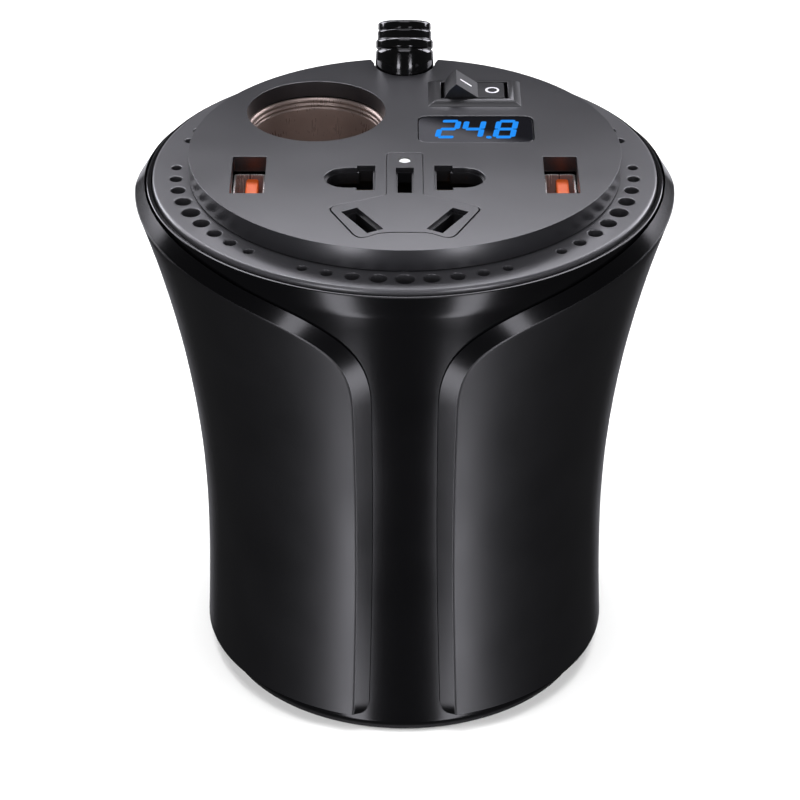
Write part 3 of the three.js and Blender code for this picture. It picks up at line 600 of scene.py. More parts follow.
@dataclass(frozen=True)
class Banded:
    """A wound or printed sleeve: bands of two colours along one axis, one slightly raised."""

    name: str
    colour: Colour
    stripe: Colour
    axis: int
    pitch: float  # mm from band to band
    share: float
    roughness: float = 0.35
    raised: float = 0.02  # mm that the stripes stand out

    def material(self) -> bpy.types.Material:
        """Builds the sleeve."""
        recipe = Recipe(self.name)
        spot = recipe.spot()
        along = recipe.split(spot)[self.axis]
        wobble = recipe.noise(spot, 1 / (2 * MM), 2)
        band = (along * (1 / (self.pitch * MM)) + wobble * 0.2) % 1.0
        stripe = band < self.share
        return recipe.finish(
            Base_Color=recipe.blend(stripe, self.colour, self.stripe),
            Roughness=wobble * 0.1 + self.roughness,
            Normal=recipe.bump(stripe, self.raised),
        )


class Finish(Enum):
    """Every finish of the inverter, by the record's material slot."""

    foot_rubber = Moulded("foot_rubber_finish", (0.008, 0.008, 0.008), 0.75, 0.2, grain=0.5, depth=0.03)
    dark_plastic = Moulded("dark_plastic_finish", (0.011, 0.011, 0.012), 0.5, 0.3, grain=0.4, depth=0.012)
    shell_plastic = Moulded(
        "shell_plastic_finish", (0.0022, 0.0022, 0.0024), 0.19, 0.24, grain=0.5, depth=0.0012, gloss=0.02
    )
    panel_plastic = Moulded(
        "panel_plastic_finish", (0.0026, 0.0026, 0.0029), 0.39, 0.5, grain=0.35, depth=0.002, gloss=0.03
    )
    plate_plastic = Moulded(
        "plate_plastic_finish", (0.018, 0.018, 0.0195), 0.31, 0.8, grain=0.28, depth=0.0012, gloss=0.02
    )
    vent_plastic = Moulded(
        "vent_plastic_finish", (0.06, 0.06, 0.062), 0.33, 0.7, grain=0.28, depth=0.0012, gloss=0.02
    )
    boot_rubber = Moulded(
        "boot_rubber_finish", (0.004, 0.004, 0.004), 0.12, 0.6, grain=0.6, depth=0.001, gloss=0.02
    )
    switch_plastic = Moulded(
        "switch_plastic_finish", (0.008, 0.008, 0.0085), 0.33, 0.6, grain=0.3, depth=0.0012
    )
    # its base colour carries a painted sheen, a grey reflection over the window's lower left part
    smoked_glass = SmokedWindow()
    lit_white = Glow("lit_white_finish", (0.85, 0.87, 0.9), (1.0, 1.0, 1.0), 1.2)
    lit_blue = Glow("lit_blue_finish", (0.004, 0.25, 0.9), (0.01, 0.3, 1.0), 1.0)
    printed_white = Moulded("printed_white_finish", (0.8, 0.8, 0.8), 0.5, 0.4, grain=0.2, depth=0.004)
    usb_orange = Moulded("usb_orange_finish", (1.0, 0.16, 0.02), 0.4, 0.5, grain=0.3, depth=0.006, tone=0.2)
    bright_steel = Metal(
        "bright_steel_finish", (0.82, 0.8, 0.77), (0.7, 0.67, 0.62), 0.24, depth=0.001, metallic=0.6
    )
    bronze_metal = Metal(
        "bronze_metal_finish", (0.42, 0.34, 0.3), (0.38, 0.3, 0.26), 0.34, depth=0.0003, metallic=0.55
    )
    contact_brass = Metal("contact_brass_finish", (0.55, 0.38, 0.15), (0.4, 0.25, 0.1), 0.35)
    screw_steel = Metal("screw_steel_finish", (0.55, 0.55, 0.57), (0.4, 0.4, 0.42), 0.35, streak=(1, 1, 1))
    sink_aluminium = Metal("sink_aluminium_finish", (0.6, 0.61, 0.63), (0.5, 0.5, 0.52), 0.42)
    board_green = Board()
    ferrite = Moulded("ferrite_finish", (0.022, 0.022, 0.024), 0.7, 0.4, grain=0.25, depth=0.02, tone=0.4)
    winding_tape = Banded("winding_tape_finish", (0.62, 0.38, 0.03), (0.42, 0.24, 0.015), 2, 2.6, 0.12)
    capacitor_sleeve = Banded(
        "capacitor_sleeve_finish", (0.012, 0.022, 0.07), (0.02, 0.035, 0.1), 0, 5.0, 0.3
    )
    fuse_red = Moulded("fuse_red_finish", (0.38, 0.012, 0.01), 0.3, 0.5, grain=0.6, depth=0.004, tone=0.15)
    floor_paint = Moulded("floor_paint_finish", (0.85, 0.85, 0.85), 0.9, 0.0, grain=20, depth=0.0, tone=0.005)
    fan_copper = Banded("fan_copper_finish", (0.48, 0.16, 0.05), (0.2, 0.06, 0.02), 2, 0.5, 0.25, 0.3)

    def made(self) -> bpy.types.Material:
        """The finish's material, which is built once."""
        return bpy.data.materials.get(self.value.name) or self.value.material()

    def dress(self, piece: Piece, second: "Finish | None" = None) -> None:
        """Gives a piece this finish, and its faces marked 1 the second one.

        Args:
            piece: The piece.
            second: The finish of the marked faces, if there are any.
        """
        marks = [face.material_index for face in piece.data.polygons]
        piece.data.materials.clear()
        for finish in (self, second):
            if finish:
                piece.data.materials.append(finish.made())
        if second:
            piece.data.polygons.foreach_set("material_index", marks)


class Part:
    """A sub-assembly: what its pieces have in common when they are handed over."""

    def hand_over(
        self,
        piece: Piece,
        finish: Finish,
        *stands_for: str,
        body: str = HOUSING,
        second: Finish | None = None,
    ) -> None:
        """Dresses a finished piece, hangs it on its body and reports it.

        Args:
            piece: The finished piece.
            finish: Its finish, whose name is the record's slot if the record has it.
            stands_for: The CAD nodes that it replaces.
            body: The CAD body that it rides on.
            second: The finish of the faces marked 1, if there are any.
        """
        finish.dress(piece, second)
        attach(piece, body)
        if stands_for:
            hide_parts(*stands_for)
        log.info("%s: %s, %d faces, on %s", type(self).__name__, piece.name, len(piece.data.polygons), body)


# ---- Housing ------------------------------------------------------------------------------------
@dataclass
class Waist:
    """The housing's outer curve: its radius grows with the square of the height from the waist."""

    radius: float = 37.6
    height: float = 26.0
    rim_flare: float = 11.35
    base_flare: float = 0.8
    rim: float = 95.0
    recess: float = 2.0
    widest: float = 46.7

    def panel(self, z: float) -> float:
        """The radius of the side panels at a height."""
        if z >= self.height:
            return self.radius + self.rim_flare * ((z - self.height) / (self.rim - self.height)) ** 2
        return self.radius + self.base_flare * ((self.height - z) / self.height) ** 2

    def shell(self, z: float) -> float:
        """The radius of the shell at a height."""
        return min(self.panel(z) - self.recess, self.widest)


@dataclass
class Housing(Part):
    """The waisted shell with its screw bosses, the two side panels let into it, and the foot."""

    waist: Waist
    wall: float = 2.2
    mouth: float = 34.2
    rim_radius: float = 46.7
    rim_top: float = 97.5
    top_bore: float = 45.9
    ledge: Point = (42.8, 96.0)
    boss_ring: float = 30.0
    boss_angles: tuple[float, ...] = (90, 210, 330)
    boss: Corner = (2.8, 3, 16.5)  # radius, bottom and top
    boss_bore: Corner = (1.3, 2, 14)  # radius, bottom and top
    rib: tuple[float, float, float, float] = (3.4, 0, 4.6, 3)  # x and y of its middle, length and width
    rib_heights: Point = (3.5, 16)
    foot: Point = (27.5, 35.2)
    rows: int = 56
    columns: int = 44
    panel_thickness: float = 1.7
    widest_back: float = 47.1  # the largest radius of the panels' back edge
    edge_rounding: float = 0.28

    def build(self) -> None:
        """Builds the shell, the foot and the panels."""
        self.hand_over(self.build_shell(), Finish.shell_plastic, "body_shell")
        self.hand_over(self.build_foot(), Finish.foot_rubber, "foot_ring")
        right = self.build_panel()
        left = Bench.copy(right, "left_panel", Matrix.Scale(-1, 4, (1, 0, 0)))
        for panel, node in ((right, "side_panel_right"), (left, "side_panel_left")):
            Bench.smooth(panel, 42)
            self.hand_over(panel, Finish.panel_plastic, node, second=Finish.shell_plastic)

    def build_shell(self) -> Piece:
        """The shell: a turned wall with rounded lips, and three bosses for the base screws."""
        outside = [(self.waist.shell(z), z) for z in range(3, 94, 3)]
        inside = [(self.waist.shell(z) - self.wall, z) for z in range(88, 4, -6)]
        foot_radius = self.waist.shell(0)
        profile = rounded([
            (self.mouth, 0, 0),
            (foot_radius - 0.9, 0, 0),
            (foot_radius, 1.0, 0.7),
            *((r, z, 0) for r, z in outside),
            (self.rim_radius, 94.6, 0),
            (self.rim_radius, self.rim_top, 0.35),
            (self.top_bore, self.rim_top, 0.2),
            (self.top_bore, self.ledge[1], 0),
            (*self.ledge, 0),
            (self.ledge[0], self.ledge[1] - 1.6, 0),
            *((r, z, 0) for r, z in inside),
            (self.mouth, 3, 0),
        ], 3)
        shell = Bench.lathe("outer_shell", [*profile, profile[0]], 160)
        bosses, bores = [], []
        for angle in self.boss_angles:
            x, y = arc(0, 0, self.boss_ring, angle, angle, 1)[0]
            bosses.append(Bench.disc("boss", (x, y), *self.boss))
            rib = Bench.slab("rib", turned(rectangle(*self.rib), angle, x, y), *self.rib_heights)
            Bench.carve(bosses[-1], [rib], "UNION")
            bores.append(Bench.disc("bore", (x, y), *self.boss_bore, 16))
        Bench.carve(shell, bosses, "UNION")
        Bench.carve(shell, bores)
        Bench.smooth(shell)
        return shell

    def build_foot(self) -> Piece:
        """The rubber ring that the inverter stands on, with a shallow groove round its underside."""
        inner, outer = self.foot
        corners = [
            (inner, -1, 0.2), (29.6, -1, 0.1), (30, -0.6, 0.1), (32.6, -0.6, 0.1), (33, -1, 0.1),
            (outer, -1, 0.35), (outer, 0, 0), (inner, 0, 0),
        ]
        profile = rounded(corners)
        foot = Bench.lathe("rubber_foot", [*profile, profile[0]], 128)
        Bench.smooth(foot)
        return foot

    def panel_edges(self) -> list[tuple[Point, Point]]:
        """The panel's edge as (angle from the front, height) of its main face and of its back, row by row."""
        edges: list[tuple[Point, Point]] = []
        corner_rows, straight_rows = 6, 14
        for row in range(corner_rows):
            swing = row / corner_rows * math.pi / 2
            rise, inward = 3 * (1 - math.cos(swing)), 4 * (1 - math.sin(swing))
            edges.append(((14.5, 3.5 + rise), (10.5 + inward, 2.7 + rise)))
        for row in range(straight_rows):
            k = row / straight_rows
            z = 5.7 + (73 - 5.7) * k
            edges.append(((14.5 - 2.1 * k, z + 0.8 * (1 - k)), (10.5 - 2.3 * k, z)))
        main = ((12.4, 73.0), (12.4, 88.0), (22.0, 92.3), (90.0, self.waist.rim))
        back = ((8.2, 73.0), (8.2, 89.0), (20.0, 97.2), (90.0, 97.4))
        sweep_rows = self.rows - corner_rows - straight_rows
        for row in range(sweep_rows + 1):
            t = math.sin(row / sweep_rows * math.pi / 2)
            edges.append((bezier(main, t), bezier(back, t)))
        return edges

    def build_panel(self) -> Piece:
        """A side panel: a grid wrapped over its face and back behind it, and closed at its edges.

        Returns:
            The right panel, which is the same towards the front and the rear.
        """
        edges = self.panel_edges()
        bpy.ops.object.select_all(action="DESELECT")
        columns, rows = 2 * self.columns + 5, len(edges) + 1
        bpy.ops.mesh.primitive_grid_add(x_subdivisions=columns, y_subdivisions=rows, size=1)
        panel = Bench.named("right_panel")
        cells = [(row, column) for row in range(rows + 1) for column in range(columns + 1)]
        places = [self.panel_point(edges, row, column) for row, column in cells]
        for vertex, spot in zip(panel.data.vertices, places):
            vertex.co = spot
        for index, face in enumerate(panel.data.polygons):
            row, column = divmod(index, columns)
            bevelled = row == 0 and column <= self.columns + 4
            face.material_index = 1 if bevelled or column in (0, self.columns + 4) else 0
        bpy.ops.object.mode_set(mode="EDIT")
        Bench.close()
        return panel

    def panel_point(self, edges: list[tuple[Point, Point]], row: int, column: int) -> Vector:
        """Where one vertex of the wrapped grid goes.

        Args:
            edges: The panel's edge, row by row.
            row: The grid row, where the two lowest follow the bottom edge and its rounding.
            column: The grid column, over the face and back behind the panel.

        Returns:
            The place in metres.
        """
        across = self.columns
        (main_angle, main_z), (back_angle, back_z) = edges[max(row - 2, 0)]
        back_radius = min(self.waist.panel(back_z) - self.panel_thickness, self.widest_back)
        main_radius = self.waist.panel(main_z)
        behind = column > across + 5
        rim = min(column, across + 5 - column)  # 0 is the back edge, 1 and 2 the chamfer, then comes the face
        step = 2 * across + 5 - column if behind else column - 3
        share = min(max(step / (across - 1), 0.0), 1.0)
        if behind or rim == 0 or row == 0:
            return self.at(back_radius, back_angle, share, back_z)
        run = (main_angle - back_angle) * math.radians(main_radius)
        chamfer = math.hypot(run, main_z - back_z, main_radius - back_radius)
        pull = min(self.edge_rounding / max(chamfer, 1e-3), 0.4)
        if row == 1 or rim == 1:
            k = 1 - pull
        elif rim == 2:
            k = 1 - pull * 0.3
        else:
            k = 1.0
        angle = back_angle + (main_angle - back_angle) * k
        z = back_z + (main_z - back_z) * k
        radius = back_radius + (main_radius - back_radius) * k - (0.03 if rim == 2 else 0)
        if rim >= 3:
            inset = math.degrees(self.edge_rounding / main_radius)
            angle = min(angle + inset * (row > 1), 90)
        return self.at(radius, angle, share, z)

    @staticmethod
    def at(radius: float, angle: float, share: float, z: float) -> Vector:
        """A point on a level arc that runs from an angle off the front to the same angle off the rear."""
        swing = math.radians(angle + (180 - 2 * angle) * share)
        return place(radius * math.sin(swing), -radius * math.cos(swing), z)


# ---- Top ----------------------------------------------------------------------------------------
@dataclass
class Deck(Part):
    """The ring of vent holes and the round socket plate that stands in it."""

    plate_radius: float = 39.0
    plate_top: float = 102.5
    plate_thickness: float = 3.0
    skirt_bottom: float = 98.6
    skirt: float = 3.0
    ring_outer: float = 45.6
    ring_inner: float = 36.2
    ring_top: float = 98.3
    ring_bottom: float = 96.4
    hole_ring: float = 41.34
    hole_groups: int = 5
    holes_each: int = 9
    hole_pitch: float = 6.3  # degrees
    group_pitch: float = 66.0  # degrees
    largest_hole: float = 1.65
    hole_step: float = 0.19
    mouth_flare: float = 0.28
    screw_ring: float = 37.6
    screw_angles: tuple[float, ...] = (20, 160, 270)
    screw_bore: float = 1.0
    screw_cover: float = 1.2  # what is left of the plate above a screw
    ring_notch: float = 6.0  # the radius of the boot's notch in the ring
    plate_notch: float = 5.75
    boot_y: float = 36.9

    @property
    def under(self) -> float:
        """The height of the plate's underside."""
        return self.plate_top - self.plate_thickness

    def mouth(self, name: str, outline: Sequence[Point]) -> Piece:
        """A tool that opens the plate with an outline."""
        return Bench.slab(name, outline, self.under - 2 * SPARE, self.plate_top + SPARE)

    def boot_passage(self, radius: float, low: float, high: float) -> Piece:
        """A tool for the notch that the cable boot leans out of."""
        wings = [(radius + 1.5, self.boot_y + 4), (-radius - 1.5, self.boot_y + 4)]
        return Bench.slab("passage", [*arc(0, self.boot_y, radius, 180, 360, 24), *wings], low, high)

    def screw_bores(self, low: float, high: float) -> list[Piece]:
        """Tools for the clearance holes of the plate's screws."""
        spots = [arc(0, 0, self.screw_ring, angle, angle, 1)[0] for angle in self.screw_angles]
        return [Bench.disc("bore", spot, self.screw_bore, low, high, 16) for spot in spots]

    def vent_hole(self, spot: Point, radius: float) -> Piece:
        """A tool for one vent hole, with a small flare at its mouth."""
        mouth, flare = self.ring_top, self.mouth_flare
        profile = [
            (0, self.ring_bottom - SPARE), (radius, self.ring_bottom - SPARE), (radius, mouth - flare),
            (radius + flare * 0.3, mouth - flare * 0.3), (radius + flare, mouth),
            (radius + flare, mouth + SPARE), (0, mouth + SPARE),
        ]
        return Bench.lathe("hole", profile, 20, spot)

    def build_ring(self) -> Piece:
        """The vent ring, with its groups of holes that shrink away from the middle of each."""
        profile = rounded([
            (self.ring_inner, self.ring_bottom, 0), (self.ring_outer, self.ring_bottom, 0),
            (self.ring_outer, self.ring_top, 0.6), (self.ring_inner, self.ring_top, 0),
        ], 6)
        ring = Bench.lathe("vent_ring_top", [*profile, profile[0]], 144)
        middle = (self.holes_each - 1) / 2
        models = {}
        holes = []
        for group in range(self.hole_groups):
            start = -90 + self.group_pitch * (group - (self.hole_groups - 1) / 2)
            for index in range(self.holes_each):
                size = abs(index - middle)
                if size not in models:
                    models[size] = self.vent_hole((0, 0), self.largest_hole - self.hole_step * size)
                x, y = arc(0, 0, self.hole_ring, start + self.hole_pitch * (index - middle), 0, 1)[0]
                holes.append(Bench.copy(models[size], "hole", Matrix.Translation((x * MM, y * MM, 0))))
        for model in models.values():
            bpy.data.objects.remove(model)
        Bench.carve(ring, holes)
        low, high = self.ring_bottom - SPARE, self.ring_top + SPARE
        Bench.carve(ring, [self.boot_passage(self.ring_notch, low, high)])
        Bench.carve(ring, self.screw_bores(low, high))
        Bench.smooth(ring)
        return ring

    def build_plate(self, tools: Sequence[Piece]) -> Piece:
        """The socket plate: a capped ring with every opening cut through it and its edges eased.

        Args:
            tools: The cutting tools of the sockets, the meter and the switch.

        Returns:
            The plate.
        """
        plate = Bench.disc("socket_plate", (0, 0), self.plate_radius, self.skirt_bottom, self.plate_top, 160)
        Bench.take(plate)
        bpy.ops.object.mode_set(mode="EDIT")
        bpy.ops.mesh.select_mode(type="FACE")
        bpy.ops.mesh.select_all(action="DESELECT")
        bpy.ops.object.mode_set(mode="OBJECT")
        for face in plate.data.polygons:
            face.select = face.normal.z < -0.9
        bpy.ops.object.mode_set(mode="EDIT")
        bpy.ops.mesh.inset(thickness=self.skirt * MM)
        Bench.push((0, 0, (self.under - self.skirt_bottom) * MM))
        bpy.ops.object.mode_set(mode="OBJECT")
        Bench.carve(plate, tools)
        low = self.skirt_bottom - SPARE
        Bench.carve(plate, [self.boot_passage(self.plate_notch, low, self.plate_top + SPARE)])
        Bench.carve(plate, self.screw_bores(low, self.plate_top - self.screw_cover))
        on_top = above(self.plate_top - SLACK)

        def on_rim(start: Vector, end: Vector) -> bool:
            """Whether an edge is part of the plate's outer top rim."""
            middle = (start + end) / 2
            return on_top(start, end) and middle.xy.length > self.plate_radius - 0.1

        def on_mouth(start: Vector, end: Vector) -> bool:
            """Whether an edge is part of an opening's mouth."""
            return on_top(start, end) and not on_rim(start, end)

        Bench.soften(plate, on_mouth, 0.14, 2)
        Bench.soften(plate, on_rim, 0.5, 4)
        Bench.smooth(plate)
        return plate

    def build(self, tools: Sequence[Piece]) -> None:
        """Builds the ring and the plate."""
        self.hand_over(self.build_ring(), Finish.vent_plastic, "vent_ring")
        self.hand_over(self.build_plate(tools), Finish.plate_plastic, "top_plate")


@dataclass
class MainsSocket(Part):
    """The universal mains socket: two pin openings, and the insert with the earth and slanted slots."""

    deck: Deck
    row: float = -11.5
    blade_from: float = 5.3
    blade_to: float = 8.5
    round_at: float = 10.4
    half_blade: float = 4.8
    half_round: float = 3.85
    ledge_depth: float = 0.9
    ledge: float = 0.34
    earth: tuple[float, float, float] = (-12.55, 3.2, 9.9)  # y, width and length
    slant: tuple[float, float, float, float] = (7.4, -27.9, 3.2, 9.2)
    slant_angle: float = 30.0
    led: Point = (-4.5, 1.05)  # y and radius
    insert_thickness: float = 2.8
    groove: float = 0.16
    insert_y: float = -17.0  # where the insert is drawn in towards
    insert_half: Point = (8.0, 16.0)
    outline: tuple[Corner, ...] = (
        (3.25, -1.5, 1.2), (3.25, -18.3, 0.8), (13.6, -23, 1.8), (8, -35.2, 2.4), (4.4, -32.4, 2),
    )

    def insert_outline(self, shrink: float) -> list[Point]:
        """The insert's outline, pulled in a little from the plate's opening."""
        left = [(-x, y, rounding) for x, y, rounding in reversed(self.outline)]
        corners = [*self.outline, *left]
        across, along = (1 - shrink / half for half in self.insert_half)
        middle = self.insert_y
        return rounded([(x * across, middle + (y - middle) * along, r) for x, y, r in corners], 6)

    def pin_outline(self) -> list[Point]:
        """The right pin opening: a flat blade's slot that runs into a round one."""
        blade, low = self.half_blade, self.half_round
        nose = arc(self.round_at, 0, low, -90, 90, 24)
        points = [
            (self.blade_from, -blade), (self.blade_to, -blade), (self.blade_to, -low), *nose,
            (self.blade_to, low), (self.blade_to, blade), (self.blade_from, blade),
        ]
        return [(x, y + self.row) for x, y in points]

    def opening(self, outline: Sequence[Point]) -> Piece:
        """A tool for a slot with a ledge below its mouth."""
        top = self.deck.plate_top
        heights = (top + SPARE, top - self.ledge_depth, self.deck.under - 2 * SPARE)
        return Bench.stepped("slot", outline, heights, self.ledge)

    def plate_tools(self) -> list[Piece]:
        """The tools that open the plate for the pins and the insert."""
        right = self.pin_outline()
        well = self.deck.mouth("well", self.insert_outline(0))
        return [self.opening(right), self.opening(mirrored(right)), well]

    def build(self) -> None:
        """Builds the insert and the light pipe."""
        top = self.deck.plate_top
        insert = Bench.slab("slot_insert", self.insert_outline(self.groove), top - self.insert_thickness, top)
        y, width, length = self.earth
        x, slant_y, slant_width, slant_length = self.slant
        slots = [self.opening(rectangle(0, y, width, length))]
        for side in (-1, 1):
            slot = rectangle(0, 0, slant_width, slant_length)
            slots.append(self.opening(turned(slot, -side * self.slant_angle, side * x, slant_y)))
        led_y, led_radius = self.led
        low, high = self.deck.under - 2 * SPARE, top + SPARE
        slots.append(Bench.disc("led_bore", (0, led_y), led_radius + 0.1, low, high, 32))
        Bench.carve(insert, slots)
        Bench.soften(insert, above(top - SLACK), 0.13, 2)
        Bench.smooth(insert)
        self.hand_over(insert, Finish.plate_plastic, "socket_insert")
        low = self.deck.under
        dome = [(led_radius * math.cos(a), top - 0.35 + 0.3 * math.sin(a)) for a in (0.0, 0.4, 0.8, 1.2)]
        profile = [(0, low), (led_radius, low), *dome, (0, top - 0.05)]
        led = Bench.lathe("led_light_pipe", profile, 32, (0, led_y))
        Bench.smooth(led, 50)
        self.hand_over(led, Finish.lit_white, "power_led")


@dataclass
class UsbPort(Part):
    """One USB port: a folded metal shell with eased lips and a seam, and a tongue with its contacts."""

    side: int
    name: str
    deck: Deck
    x: float = 27.8
    y: float = -10.3
    mouth: Point = (6.0, 14.4)
    shell: Point = (5.7, 13.6)
    wall: float = 0.4
    top: float = 99.2
    bottom: float = 87.0
    tongue: Point = (2.3, 11.1)
    tongue_offset: float = 0.45
    seam: Point = (0.12, 1.6)
    root: Point = (4.3, 12.2)
    root_heights: Point = (0.2, 2.2)  # above the shell's bottom
    pads: int = 4
    pad: Point = (0.16, 1.1)
    pad_pitch: float = 2.3
    pad_ends: Point = (3.0, 0.9)  # above the shell's bottom, and below the tongue's tip

    def plate_tool(self) -> Piece:
        """The tool that opens the plate for the port."""
        outline = rectangle(self.side * self.x, self.y, *self.mouth, 0.25)
        return self.deck.mouth("usb_mouth", outline)

    def build(self) -> None:
        """Builds the shell, the tongue and the tongue's contacts."""
        x = self.side * self.x
        width, depth = self.shell
        outside = rectangle(x, self.y, width, depth, 0.7)
        inside = rectangle(x, self.y, width - 2 * self.wall, depth - 2 * self.wall, 0.5)
        seam = rectangle(x, self.y + depth / 2, *self.seam)
        shell = Bench.slab(f"usb_sleeve_{self.name}", outside, self.bottom, self.top)
        for name, outline in (("bore", inside), ("seam", seam)):
            Bench.carve(shell, [Bench.slab(name, outline, self.bottom - SPARE, self.top + SPARE)])
        Bench.soften(shell, above(self.top - SLACK), 0.12, 2)
        Bench.smooth(shell)
        self.hand_over(shell, Finish.bright_steel, f"usb_shell_{self.name}")

        tongue_x, tip = x + self.tongue_offset, self.top - 0.3
        blade = rectangle(tongue_x, self.y, *self.tongue, 0.5)
        tongue = Bench.slab(f"usb_blade_{self.name}", blade, self.bottom + 1, tip)
        low, high = (self.bottom + height for height in self.root_heights)
        root = Bench.slab("root", rectangle(x, self.y, *self.root, 0.4), low, high)
        Bench.carve(tongue, [root], "UNION")
        Bench.soften(tongue, above(tip - SLACK), 0.9, 4)
        Bench.smooth(tongue)
        self.hand_over(tongue, Finish.usb_orange, f"usb_tongue_{self.name}")
        strips = []
        face = tongue_x - self.tongue[0] / 2
        low, high = self.bottom + self.pad_ends[0], tip - self.pad_ends[1]
        for index in range(self.pads):
            y = self.y + (index - (self.pads - 1) / 2) * self.pad_pitch
            strips.append(Bench.slab("strip", rectangle(face, y, *self.pad), low, high))
            Bench.soften(strips[-1], lambda start, end: start.x < face and end.x < face, 0.04, 1)
        contacts = Bench.join(f"usb_contacts_{self.name}", strips)
        Bench.smooth(contacts)
        self.hand_over(contacts, Finish.contact_brass)


@dataclass
class LighterSocket(Part):
    """The lighter socket's pressed barrel: two rolled beads at its mouth, and a lead-in down to the bore."""

    deck: Deck
    x: float = -16.3
    y: float = 15.9
    mouth: float = 12.75
    bore: float = 10.6
    bottom: float = 63.0
    top: float = 99.2

    def plate_tool(self) -> Piece:
        """The tool that opens the plate for the socket."""
        low, high = self.deck.under - 2 * SPARE, self.deck.plate_top + SPARE
        return Bench.disc("lighter_mouth", (self.x, self.y), self.mouth, low, high, 96)

    def build(self) -> None:
        """Builds the barrel."""
        corners = [
            (self.bore, self.bottom + 0.6, 0.4), (self.bore, 82, 2), (12, 97.2, 0.15), (12.25, 97.5, 0.15),
            (12.0, 97.9, 0.2), (12.35, 98.3, 0.2), (12.15, 98.8, 0.2), (12.5, self.top, 0.12),
            (13.1, self.top, 0.2), (13.1, 98, 0.2), (12.7, 97, 0.2), (11.3, 82, 2), (11.3, self.bottom, 0.8),
            (7, self.bottom, 0), (7, self.bottom + 0.6, 0),
        ]
        profile = rounded(corners)
        barrel = Bench.lathe("lighter_sleeve", [*profile, profile[0]], 112, (self.x, self.y))
        Bench.smooth(barrel, 50)
        self.hand_over(barrel, Finish.bronze_metal, "lighter_barrel")


@dataclass
class Voltmeter(Part):
    """The voltmeter: a smoked window flush with the plate, and the lit segments of its reading."""

    deck: Deck
    x: float = 13.0
    y: float = 8.2
    size: Point = (21.0, 10.8)
    corner: float = 2.0
    sunk: float = 0.15
    digit: Point = (3.1, 6.6)  # between the middles of the outer segments
    stroke: float = 1.02
    slope: float = 0.14
    gap: float = 0.16
    middles: tuple[float, ...] = (7.95, 12.55, 18.45)
    middle_y: float = 8.4
    lit: tuple[str, ...] = ("abged", "fgbc", "abcdefg")  # segments in the usual lettering
    inlay: Point = (0.2, 0.04)  # how far a segment reaches into the window, and stands out of it
    window_thickness: float = 1.35

    def plate_tool(self) -> Piece:
        """The tool that opens the plate for the window."""
        width, depth = self.size
        outline = rectangle(self.x, self.y, width + 0.2, depth + 0.2, self.corner)
        return self.deck.mouth("meter_mouth", outline)

    def bar(self, start: Point, end: Point) -> Piece:
        """One lit segment between two places on the digit's grid: a bar with rounded ends."""
        (x0, y0), (x1, y1) = start, end
        length = math.hypot(x1 - x0, y1 - y0) - 2 * self.gap
        shape = rectangle(0, 0, length, self.stroke, self.stroke * 0.42)
        outline = turned(shape, math.degrees(math.atan2(y1 - y0, x1 - x0)), (x0 + x1) / 2, (y0 + y1) / 2)
        top = self.deck.plate_top - self.sunk
        leaning = [(x + self.slope * (y - self.middle_y), y) for x, y in outline]
        return Bench.slab("bar", leaning, top - self.inlay[0], top + self.inlay[1])

    def build_digit(self, name: str, middle: float, letters: str) -> Piece:
        """A digit from the letters of its lit segments."""
        w, h = self.digit[0] / 2, self.digit[1] / 2
        spots = {(i, j): (middle + i * w, self.middle_y + j * h) for i in (-1, 1) for j in (-1, 0, 1)}
        ends = {
            "a": ((-1, 1), (1, 1)), "b": ((1, 0), (1, 1)), "c": ((1, -1), (1, 0)), "d": ((-1, -1), (1, -1)),
            "e": ((-1, -1), (-1, 0)), "f": ((-1, 0), (-1, 1)), "g": ((-1, 0), (1, 0)),
        }
        return Bench.join(name, [self.bar(*(spots[end] for end in ends[letter])) for letter in letters])

    def build(self) -> None:
        """Builds the window and the reading."""
        top = self.deck.plate_top - self.sunk
        outline = rectangle(self.x, self.y, *self.size, self.corner)
        window = Bench.slab("meter_glass", outline, top - self.window_thickness, top)
        Bench.soften(window, above(top - SLACK), 0.18, 3)
        Bench.smooth(window)
        self.hand_over(window, Finish.smoked_glass, "meter_window")
        for number, (middle, letters) in enumerate(zip(self.middles, self.lit), 1):
            digit = self.build_digit(f"meter_digit_{number}", middle, letters)
            Bench.smooth(digit)
            self.hand_over(digit, Finish.lit_blue)
        x, y = self.middles[1] + 2.75, self.middle_y - self.digit[1] / 2 - 0.1
        spot = rectangle(x, y, 1.0, 1.0, 0.45)
        dot = Bench.slab("meter_point", spot, top - self.inlay[0], top + self.inlay[1])
        Bench.smooth(dot)
        self.hand_over(dot, Finish.lit_blue)


